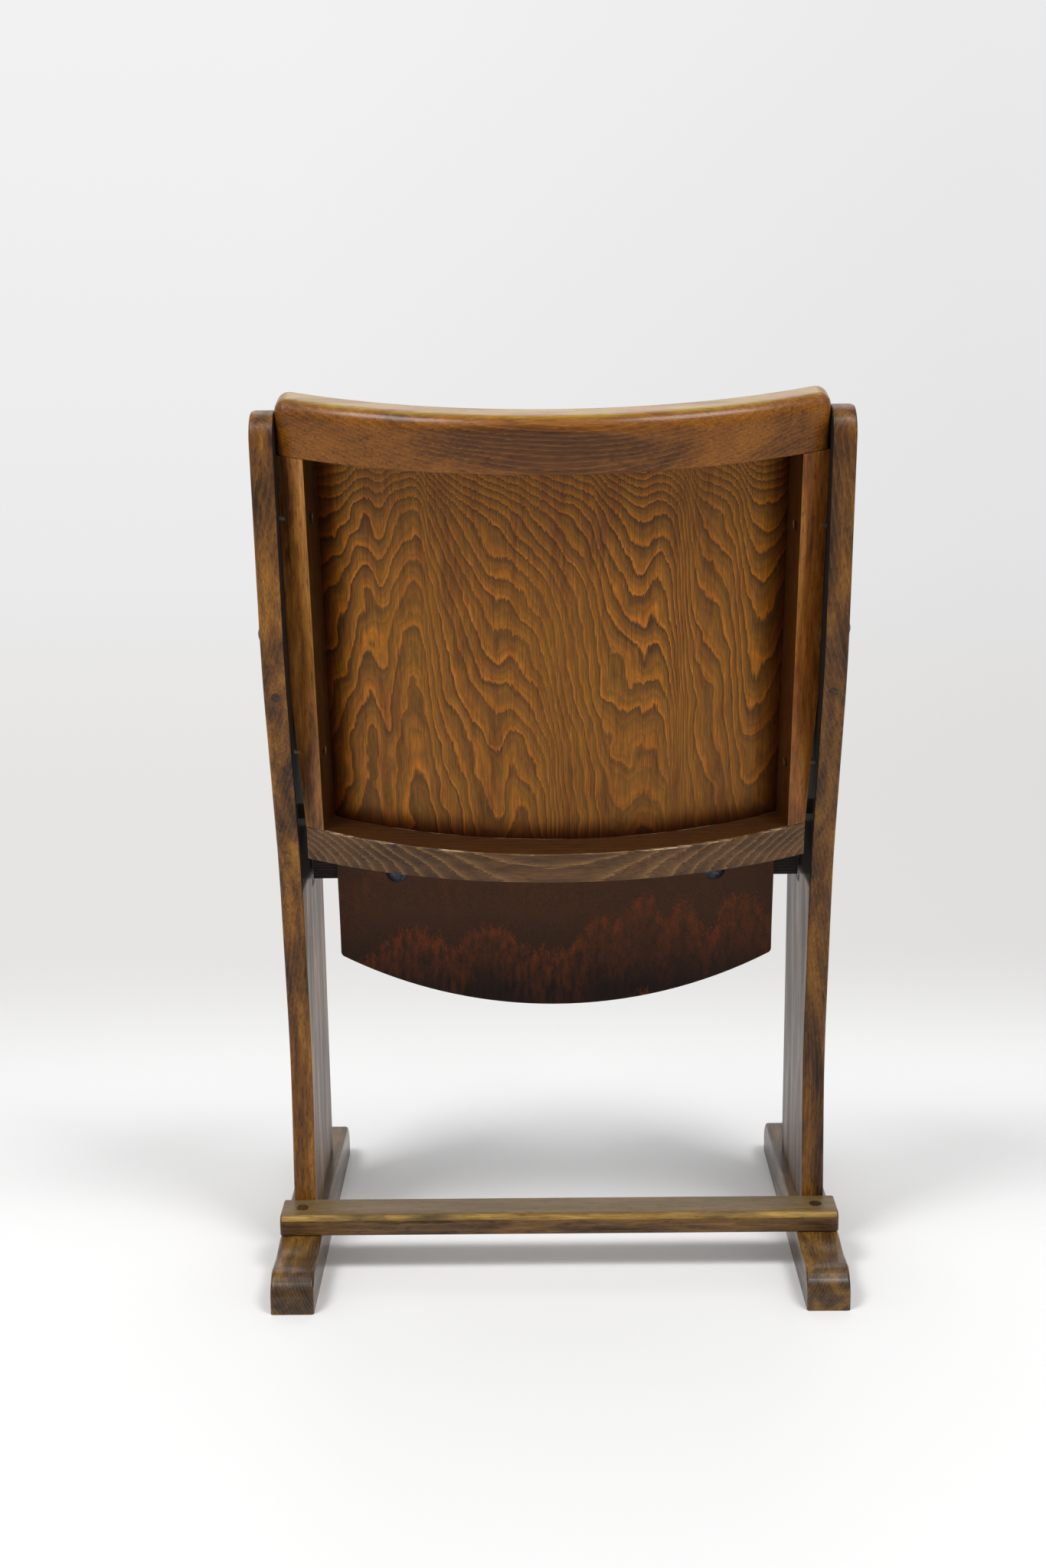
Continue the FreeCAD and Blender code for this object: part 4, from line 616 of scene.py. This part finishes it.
@dataclass(frozen=True)
class SeatVeneer:
    """Rotary-cut beech veneer under dark stain: a brown field over red-brown flames with feathered tips, and
    painted shade along its lower edge.
    """

    name: str = "seat_veneer"
    half: float = 0.2205
    low: float = -0.158
    span: float = 0.144
    feather: float = 60.0 * MM
    dark: str = "432814"
    darkest_painted_shade: str = "160803"
    red: str = "7c3810"
    tips: Curve = (
        (0.0, 0.26), (0.07, 0.36), (0.14, 0.54), (0.23, 0.53), (0.26, 0.38), (0.295, 0.55), (0.35, 0.60),
        (0.39, 0.53), (0.435, 0.43), (0.47, 0.38), (0.51, 0.40), (0.56, 0.53), (0.60, 0.66), (0.63, 0.60),
        (0.68, 0.73), (0.715, 0.80), (0.75, 0.66), (0.80, 0.76), (0.855, 0.60), (0.91, 0.80), (1.0, 0.66))

    # Waves about 40 mm apart and reddish streaks about 7 mm across.
    sway_scale: float = 26.0
    streak_scale: float = 150.0

    def build(self) -> bpy.types.Material:
        """Make the material.

        Returns:
            The new material.
        """
        material, tree = new_material(self.name)
        place = add_node(tree, "TexCoord", {}, {}).outputs["Object"]
        origin = Matrix.Rotation(-SEAT_LEAN, 3, "X") @ PIVOT
        upright = add_node(tree, "Mapping", {}, {
            "Vector": place, "Rotation": Grain.SEAT.value, "Location": -origin}).outputs[0]
        parts = add_node(tree, "SeparateXYZ", {}, {0: upright})
        fine = noise_along(tree, upright, 0.025, FINE_SCALE, 3.0)
        flame = self.draw_flames(tree, upright, parts)
        # Painted shade: the field darkens to near black along the panel's lower edge.
        lower_painted_shade = add_node(tree, "MapRange", {}, {
            "Value": parts.outputs["Z"], "From Min": self.low + 0.02, "From Max": self.low + 0.10,
            "To Min": 1.0, "To Max": 0.0})
        ground = add_node(tree, "Mix", {"data_type": "RGBA"}, {
            FACTOR: lower_painted_shade.outputs[0], FIRST: linear(self.dark), SECOND: linear(self.darkest_painted_shade)})
        banded = add_node(tree, "Mix", {"data_type": "RGBA"}, {
            FACTOR: flame, FIRST: ground.outputs[MIXED], SECOND: linear(self.red)})
        fibres = add_node(tree, "MapRange", {}, {
            "Value": fine, "From Min": FIBRE_DARK, "From Max": FIBRE_LIGHT, "To Min": 0.7, "To Max": 1.3})
        colour = add_node(tree, "Mix", {"data_type": "RGBA", "blend_type": "MULTIPLY"}, {
            FACTOR: 1.0, FIRST: banded.outputs[MIXED], SECOND: fibres.outputs[0]})

        bump = add_node(tree, "Bump", {}, {"Strength": 0.2, "Distance": 0.2 * MM, "Height": fine})
        shader = add_node(tree, "BsdfPrincipled", {}, {
            "Base Color": colour.outputs[MIXED], "Roughness": 0.4, "Normal": bump.outputs[0],
            "IOR": VARNISH_IOR, "Specular IOR Level": 0.14, "Coat Weight": 0.02, "Coat Roughness": 0.3})
        finish_material(tree, shader)
        return material

    def draw_flames(self, tree: bpy.types.NodeTree, upright: bpy.types.NodeSocket,
                    parts: bpy.types.Node) -> bpy.types.NodeSocket:
        """Tell how red each point is: most just under the flames' tips, in streaks, and less above them.

        Args:
            tree: The material's tree.
            upright: Coordinates with the grain along Z, from the piece's base.
            parts: The node that splits those coordinates.

        Returns:
            The share of red, from 0 to 1.
        """
        fibre = noise_along(tree, upright, 0.025, SEAT_FIBRE_SCALE, 4.0, 0.65)
        sway = noise_along(tree, upright, 0.4, self.sway_scale, 2.0)
        streak = noise_along(tree, upright, 0.06, self.streak_scale, 4.0, 0.65)
        teeth = add_node(tree, "Math", {"operation": "MULTIPLY_ADD"}, {
            0: fibre, 1: self.feather, 2: parts.outputs["Z"]})
        start = self.low + self.feather / 2
        height = add_node(tree, "MapRange", {"clamp": False}, {
            "Value": teeth.outputs[0], "From Min": start, "From Max": start + self.span})
        across = add_node(tree, "MapRange", {}, {
            "Value": parts.outputs["X"], "From Min": self.half, "From Max": -self.half})
        tips = add_node(tree, "FloatCurve", {}, {"Value": across.outputs[0]})
        set_curve(tips, self.tips)
        over = add_node(tree, "Math", {"operation": "SUBTRACT"}, {0: height.outputs[0], 1: tips.outputs[0]})
        wave = 0.35
        swayed = add_node(tree, "Math", {"operation": "MULTIPLY_ADD"}, {
            0: sway, 1: wave, 2: over.outputs[0]})
        shifted = add_node(tree, "Math", {"operation": "SUBTRACT"}, {0: swayed.outputs[0], 1: wave / 2})
        counted = add_node(tree, "Math", {"operation": "MULTIPLY"}, {0: shifted.outputs[0], 1: 1.5})
        phase = add_node(tree, "Math", {"operation": "FRACT"}, {0: counted.outputs[0]})
        flame = add_node(tree, "ValToRGB", {}, {0: phase.outputs[0]})
        set_stops(flame, [
            (0.0, "202020"), (0.3, "585858"), (0.75, "a8a8a8"), (0.97, "d8d8d8"), (1.0, "505050")])
        under = add_node(tree, "MapRange", {}, {
            "Value": shifted.outputs[0], "From Min": 0.0, "From Max": 0.03, "To Min": 0.85, "To Max": 0.4})
        tones = add_node(tree, "MapRange", {}, {
            "Value": streak, "From Min": 0.36, "From Max": 0.64, "To Min": 0.0, "To Max": 1.15})
        redder = add_node(tree, "Math", {"operation": "MULTIPLY"}, {0: under.outputs[0], 1: tones.outputs[0]})
        part = add_node(tree, "Math", {"operation": "MULTIPLY"}, {0: redder.outputs[0], 1: flame.outputs[0]})
        return part.outputs[0]


@dataclass(frozen=True)
class Steel:
    """Plain steel as it ages: dull and cloudy, with a faint unevenness in place of finer scratches."""

    name: str
    light: str
    dark: str
    roughness: float = 0.42

    # Clouds about 4 mm across.
    cloud_scale: float = 260.0

    def build(self) -> bpy.types.Material:
        """Make the material.

        Returns:
            The new material.
        """
        material, tree = new_material(self.name)
        place = add_node(tree, "TexCoord", {}, {}).outputs["Object"]
        cloud = noise_along(tree, place, 1.0, self.cloud_scale, 5.0)
        colour = add_node(tree, "ValToRGB", {}, {0: cloud})
        set_stops(colour, [(0.35, self.dark), (0.65, self.light)])
        gloss = add_node(tree, "MapRange", {}, {
            "Value": cloud, "From Min": 0.3, "From Max": 0.7, "To Min": self.roughness + 0.12,
            "To Max": self.roughness - 0.08})
        bump = add_node(tree, "Bump", {}, {"Strength": 0.2, "Distance": 0.1 * MM, "Height": cloud})
        shader = add_node(tree, "BsdfPrincipled", {}, {
            "Base Color": colour.outputs[0], "Metallic": 0.9, "Roughness": gloss.outputs[0],
            "Normal": bump.outputs[0]})
        finish_material(tree, shader)
        return material


@dataclass(frozen=True)
class Rubber:
    """Moulded black rubber: matt, a little dusty."""

    name: str = "stop_rubber"

    # Dust in patches about 6 mm across.
    dust_scale: float = 180.0

    def build(self) -> bpy.types.Material:
        """Make the material.

        Returns:
            The new material.
        """
        material, tree = new_material(self.name)
        place = add_node(tree, "TexCoord", {}, {}).outputs["Object"]
        dust = noise_along(tree, place, 1.0, self.dust_scale, 4.0)
        colour = add_node(tree, "ValToRGB", {}, {0: dust})
        set_stops(colour, [(0.35, "161514"), (0.7, "2b2927")])
        bump = add_node(tree, "Bump", {}, {"Strength": 0.2, "Distance": 0.2 * MM, "Height": dust})
        shader = add_node(tree, "BsdfPrincipled", {}, {
            "Base Color": colour.outputs[0], "Roughness": 0.75, "Normal": bump.outputs[0]})
        finish_material(tree, shader)
        return material


@dataclass
class Stand:
    """The side boards, feet and crossbar."""

    # The boards' inner faces are painted nearly black from the seat's height up: painted shade where the back
    # and the raised seat keep the light off them.
    inner_painted_shade: str = "0e0704"
    seat_height: float = 0.386

    def finishes(self) -> dict[str, Finish]:
        """Give the finish of each piece.

        Returns:
            A finish for each node name.
        """
        # Painted shade: the boards' inner faces turn nearly black and matt above the seat's height.
        left_inner_painted_shade = Tint((-1.0, 0.0, 0.0), self.inner_painted_shade, 0.96, 0.6, 0.8, above=self.seat_height)
        right_inner_painted_shade = Tint((1.0, 0.0, 0.0), self.inner_painted_shade, 0.96, 0.6, 0.8, above=self.seat_height)
        # Painted light: the crossbar's top faces are painted lighter, as lit from above. Its rear top
        # rounding is painted gold in patches, partly wear and partly a painted highlight.
        bar_top_painted_light = Tint((0.0, 0.0, 1.0), "6e5a38", 0.7, 0.8, 0.98)
        bar_edge_wear_and_highlight = Tint((0.0, 0.75, 0.66), "a8863c", 0.9, 0.86, 0.97, patchy=True)
        return {
            "side_board_left": StainedBeech(
                "board_left_beech", Grain.UPRIGHT, pith=(-0.05, 0.12), shift=0.3, dark="301b08",
                middle="683f14", light="966420", tints=(left_inner_painted_shade,)),
            "side_board_right": StainedBeech(
                "board_right_beech", Grain.UPRIGHT, pith=(0.07, 0.10), shift=1.7, dark="281606",
                middle="52300e", light="764c16", tints=(right_inner_painted_shade,)),
            "foot_left": StainedBeech(
                "foot_left_beech", Grain.FORWARD, pith=(-0.1, 0.09), shift=0.9, middle="4c3418",
                light="785622", coat=0.3),
            "foot_right": StainedBeech(
                "foot_right_beech", Grain.FORWARD, pith=(0.1, 0.11), shift=2.1, middle="4c3418",
                light="785622", coat=0.3),
            "foot_crossbar": StainedBeech(
                "bar_beech", Grain.ACROSS, pith=(0.12, 0.04), shift=0.2, middle="5a4129", light="765429",
                tints=(bar_top_painted_light, bar_edge_wear_and_highlight)),
        }


@dataclass
class Back:
    """The bowed back: rails, stiles and the veneered panel."""

    # The crest has a smoother, fresher varnish than the rest.
    crest_coat: float = 0.12
    crest_coat_roughness: float = 0.1

    def finishes(self) -> dict[str, Finish]:
        """Give the finish of each piece.

        Returns:
            A finish for each node name.
        """
        # The crest's top faces are painted gold in patches: partly worn varnish, partly painted light from
        # the lamps above.
        crest_top_wear_and_light = Tint((0.0, 0.35, 0.94), "8c701c", 0.85, 0.86, 0.98, patchy=True)
        # Painted shade: the bottom rail's top ledge and the stiles' inner faces, in the recesses round the
        # panel, are darkened.
        ledge_painted_shade = Tint((0.0, 0.22, 0.97), "3a1f0b", 0.9, 0.8, 0.97)
        left_stile_painted_shade = Tint((-1.0, 0.0, 0.0), "2c1504", 0.9, 0.6, 0.85)
        right_stile_painted_shade = Tint((1.0, 0.0, 0.0), "3c1d05", 0.9, 0.6, 0.85)
        return {
            "back_top_rail": StainedBeech(
                "crest_beech", Grain.ACROSS, pith=(0.75, -0.1), shift=0.4, dark="4e2a0a", middle="74430e",
                light="885214", ring_code="a06c2c", ring_amount=0.35, blotch_mm=40.0, roughness=0.3,
                edge_wear=0.2, coat=self.crest_coat, coat_roughness=self.crest_coat_roughness,
                tints=(crest_top_wear_and_light,)),
            "back_bottom_rail": StainedBeech(
                "bottom_rail_beech", Grain.ACROSS, pith=(0.425, -0.05), shift=1.2, dark="38220f",
                middle="4e3218", light="5e4022", ring_code="9c7444", worn="d8bd92", ring_mm=5.2,
                ring_amount=0.6, ring_sway=1.3, edge_mm=1.0, edge_wear=1.0, tints=(ledge_painted_shade,)),
            "back_stile_left": StainedBeech(
                "stile_left_beech", Grain.RAKED, pith=(-0.1, 0.05), shift=0.8, dark="4a2a10",
                middle="8c5824", light="ac7636", ring_amount=0.15, edge_wear=0.35, tints=(left_stile_painted_shade,)),
            "back_stile_right": StainedBeech(
                "stile_right_beech", Grain.RAKED, pith=(0.1, 0.04), shift=1.5, dark="4a2a10",
                middle="824a18", light="a0682c", ring_amount=0.15, edge_wear=0.35, tints=(right_stile_painted_shade,)),
            "back_panel": BackVeneer(),
        }


@dataclass
class Seat:
    """The tipping seat: veneered panel on a near-black beam and brown bearers."""

    # The pieces under the seat have a thin, matt stain.
    matt: float = 0.55

    def finishes(self) -> dict[str, Finish]:
        """Give the finish of each piece.

        Returns:
            A finish for each node name.
        """
        bearer = StainedBeech(
            "bearer_beech", Grain.SEAT, dark="3a2616", middle="563b22", light="6d4d2e", roughness=self.matt)
        batten = StainedBeech(
            "batten_beech", Grain.ACROSS, dark="3a2616", middle="563b22", light="6d4d2e",
            roughness=self.matt)
        beam = StainedBeech(
            "beam_black_beech", Grain.ACROSS, dark="0c0a09", middle="120f0d", light="1c1714", worn="3a2d20",
            edge_wear=0.2, roughness=0.6)
        return {
            "seat_panel": SeatVeneer(), "seat_beam": beam, "seat_bearer_left": bearer,
            "seat_bearer_right": bearer, "seat_front_batten": batten,
        }


@dataclass
class Fittings:
    """Screws, bolts, pins, plates, plugs, dowels, stops and rubber."""

    bright: Steel = field(default_factory=lambda: Steel("dull_steel", "8b8a88", "5f5b56"))
    blued: Steel = field(default_factory=lambda: Steel("blued_steel", "454a52", "2a2c30", 0.38))
    browned: Steel = field(default_factory=lambda: Steel("browned_steel", "75695a", "463c30", 0.5))
    iron: Steel = field(default_factory=lambda: Steel("black_iron", "26262a", "121213", 0.55))

    def finishes(self) -> dict[str, Finish]:
        """Give the finish of each piece.

        Returns:
            A finish for each node name.
        """
        plug = StainedBeech(
            "plug_beech", Grain.FORWARD, dark="2c1c10", middle="3a2818", light="4a3420", worn="4a3420",
            edge_mm=0.8)
        dowel = StainedBeech(
            "dowel_beech", Grain.UPRIGHT, dark="b08a5c", middle="c4a070", light="d4b484", worn="d4b484",
            roughness=0.6)
        block = StainedBeech(
            "stop_block_beech", Grain.FORWARD, dark="3a2616", middle="563b22", light="6d4d2e",
            roughness=0.55)
        groups: tuple[tuple[Finish, tuple[str, ...]], ...] = (
            (self.bright, ("crossbar_screws", "pivot_plate_screws", "stop_block_screws", "seat_screws",
                           "pivot_pin_left", "pivot_pin_right", "up_stop_pegs", "seat_bolt_nuts",
                           "seat_bolt_washers", "pivot_washers")),
            (self.blued, ("seat_bolts", "back_bolts")),
            (self.browned, ("back_frame_screws",)),
            (self.iron, ("pivot_plate_left", "pivot_plate_right")),
            (Rubber(), ("stop_pad_left", "stop_pad_right", "up_stop_sleeves")),
            (plug, ("crossbar_plugs", "edge_plugs")),
            (dowel, ("foot_dowels", "back_frame_dowels")),
            (block, ("stop_block_left", "stop_block_right")),
        )
        return {name: finish for finish, names in groups for name in names}


def dress(nodes: Nodes, finishes: dict[str, Finish]) -> None:
    """Put finishes on the frame's pieces, each built once.

    Args:
        nodes: The frame's objects by node name.
        finishes: A finish for each node name.
    """
    built: dict[Finish, bpy.types.Material] = {}
    for name, finish in finishes.items():
        if finish not in built:
            built[finish] = finish.build()
        for slot in nodes[name].material_slots:
            slot.material = built[finish]
        LOG.info("%s: %s", name, built[finish].name)


@dataclass
class Studio:
    """A seamless pale sweep, soft lamps and the photograph's camera."""

    sweep_width: float = 9.0
    wall_y: float = -3.2
    sweep_round: float = 1.2
    sweep_front: float = 4.5
    wall_height: float = 4.0
    world_strength: float = 0.42
    focal_px: float = 2857.0
    eye: tuple[float, float, float] = (0.0115, 2.1376, 0.9435)
    yaw: float = -0.0094
    pitch: float = 0.2119
    roll: float = -0.0120

    def build_sweep(self) -> None:
        """Build the floor that curves up into the wall."""
        mesh = bpy.data.meshes.new("sweep")
        shape = bmesh.new()
        half = self.sweep_width / 2
        curve_y = self.wall_y + self.sweep_round
        start = [shape.verts.new((x, self.sweep_front, 0.0)) for x in (-half, half)]
        edge = shape.edges.new(start)
        floor = bmesh.ops.extrude_edge_only(shape, edges=[edge])
        ends = [item for item in floor["geom"] if isinstance(item, bmesh.types.BMVert)]
        bmesh.ops.translate(shape, verts=ends, vec=(0.0, curve_y - self.sweep_front, 0.0))
        last = [item for item in floor["geom"] if isinstance(item, bmesh.types.BMEdge)]
        curve = bmesh.ops.spin(
            shape, geom=last, cent=(0.0, curve_y, self.sweep_round), axis=(1.0, 0.0, 0.0),
            dvec=(0.0, 0.0, 0.0), angle=-math.pi / 2, steps=24, use_merge=False, use_duplicate=False)
        last = [item for item in curve["geom_last"] if isinstance(item, bmesh.types.BMEdge)]
        wall = bmesh.ops.extrude_edge_only(shape, edges=last)
        ends = [item for item in wall["geom"] if isinstance(item, bmesh.types.BMVert)]
        bmesh.ops.translate(shape, verts=ends, vec=(0.0, 0.0, self.wall_height))
        bmesh.ops.recalc_face_normals(shape, faces=shape.faces)
        shape.to_mesh(mesh)
        shape.free()
        for face in mesh.polygons:
            face.use_smooth = True
        sweep = bpy.data.objects.new("sweep", mesh)
        bpy.context.collection.objects.link(sweep)
        mesh.materials.append(self.paper())

    def paper(self) -> bpy.types.Material:
        """Make the pale paper: lit and shadowed near the seat, and further off glowing pale to the eye, with
        painted shade that darkens it low down and toward negative X.

        Returns:
            The new material.
        """
        material, tree = new_material("white_paper")
        paint = add_node(tree, "BsdfPrincipled", {}, {"Base Color": linear("f2f2f2"), "Roughness": 0.9})
        place = add_node(tree, "TexCoord", {}, {})
        parts = add_node(tree, "SeparateXYZ", {}, {0: place.outputs["Object"]})
        # Painted shade on the glowing backdrop: darker low down and toward negative X.
        rise = add_node(tree, "MapRange", {}, {"Value": parts.outputs["Z"], "From Min": 0.0, "From Max": 1.6})
        painted_height_shade = add_node(tree, "ValToRGB", {}, {0: rise.outputs[0]})
        set_stops(painted_height_shade, [(0.0, "e6e5e3"), (0.25, "ecebec"), (1.0, "f2f2f3")])
        side = add_node(tree, "MapRange", {}, {
            "Value": parts.outputs["X"], "From Min": -1.0, "From Max": 0.6, "To Min": 0.93, "To Max": 1.0})
        toned = add_node(tree, "Mix", {"data_type": "RGBA", "blend_type": "MULTIPLY"}, {
            FACTOR: 1.0, FIRST: painted_height_shade.outputs[0], SECOND: side.outputs[0]})
        glow = add_node(tree, "Emission", {}, {"Color": toned.outputs[MIXED], "Strength": 1.0})
        rays = add_node(tree, "LightPath", {}, {})
        seen = rays.outputs["Is Camera Ray"]
        for way in ("Is Transmission Ray", "Is Glossy Ray"):
            either = add_node(tree, "Math", {"operation": "MAXIMUM"}, {0: seen, 1: rays.outputs[way]})
            seen = either.outputs[0]
        far = add_node(tree, "MapRange", {"interpolation_type": "SMOOTHSTEP"}, {
            "Value": parts.outputs["Y"], "From Min": -0.4, "From Max": -1.1})
        part = add_node(tree, "Math", {"operation": "MULTIPLY"}, {0: seen, 1: far.outputs[0]})
        blend = add_node(tree, "MixShader", {}, {
            0: part.outputs[0], 1: paint.outputs[0], 2: glow.outputs[0]})
        finish_material(tree, blend)
        return material

    def light(self) -> None:
        """Hang the soft lamps and set the world's pale light."""
        lamps = (
            ("left_top_lamp", (1.3, 1.3, 2.9), (0.0, 0.0, 0.5), 1.0, 46.0),
            ("right_top_lamp", (-1.1, 1.3, 2.9), (0.0, 0.0, 0.5), 1.0, 40.0),
            ("front_lamp", (0.0, -1.6, 2.6), (0.0, 0.0, 0.4), 1.6, 13.0),
        )
        for name, place, aim, size, power in lamps:
            lamp = bpy.data.lights.new(name, "AREA")
            lamp.shape = "SQUARE"
            lamp.size = size
            lamp.energy = power
            holder = bpy.data.objects.new(name, lamp)
            holder.location = place
            holder.rotation_euler = (Vector(aim) - Vector(place)).to_track_quat("-Z", "Y").to_euler()
            bpy.context.collection.objects.link(holder)
        world = bpy.data.worlds.new("pale_room")
        world.use_nodes = True
        world.node_tree.nodes.clear()
        bpy.context.scene.world = world
        tree = world.node_tree
        light = add_node(tree, "Background", {}, {
            "Color": linear("ffffff"), "Strength": self.world_strength})
        add_node(tree, "OutputWorld", {}, {"Surface": light.outputs[0]})

    def place_camera(self) -> None:
        """Set up the camera as it was worked out from the photograph."""
        cos_yaw, sin_yaw = math.cos(self.yaw), math.sin(self.yaw)
        ahead = Vector((-sin_yaw, -cos_yaw, 0.0))
        right = Vector((-cos_yaw, sin_yaw, 0.0))
        up = Vector((0.0, 0.0, 1.0))
        look = ahead * math.cos(self.pitch) - up * math.sin(self.pitch)
        rise = up * math.cos(self.pitch) + ahead * math.sin(self.pitch)
        rolled_right = right * math.cos(self.roll) + rise * math.sin(self.roll)
        rolled_up = rise * math.cos(self.roll) - right * math.sin(self.roll)
        turn = Matrix((rolled_right, rolled_up, -look)).transposed().to_4x4()
        lens = bpy.data.cameras.new("camera")
        lens.sensor_fit = "VERTICAL"
        lens.sensor_height = 36.0
        lens.lens = self.focal_px * lens.sensor_height / PHOTO_HEIGHT_PX
        lens.clip_end = 50.0
        camera = bpy.data.objects.new("camera", lens)
        camera.matrix_world = Matrix.Translation(self.eye) @ turn
        bpy.context.collection.objects.link(camera)
        bpy.context.scene.camera = camera


def main() -> None:
    """Dress the seat, then build the studio."""
    logging.basicConfig(level=logging.INFO, format="%(name)s: %(message)s")
    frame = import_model()
    for part in (Stand(), Back(), Seat(), Fittings()):
        dress(frame["nodes"], part.finishes())
    studio = Studio()
    studio.build_sweep()
    studio.light()
    studio.place_camera()
    bpy.context.scene.view_settings.view_transform = "Standard"


if __name__ == "__main__":
    main()
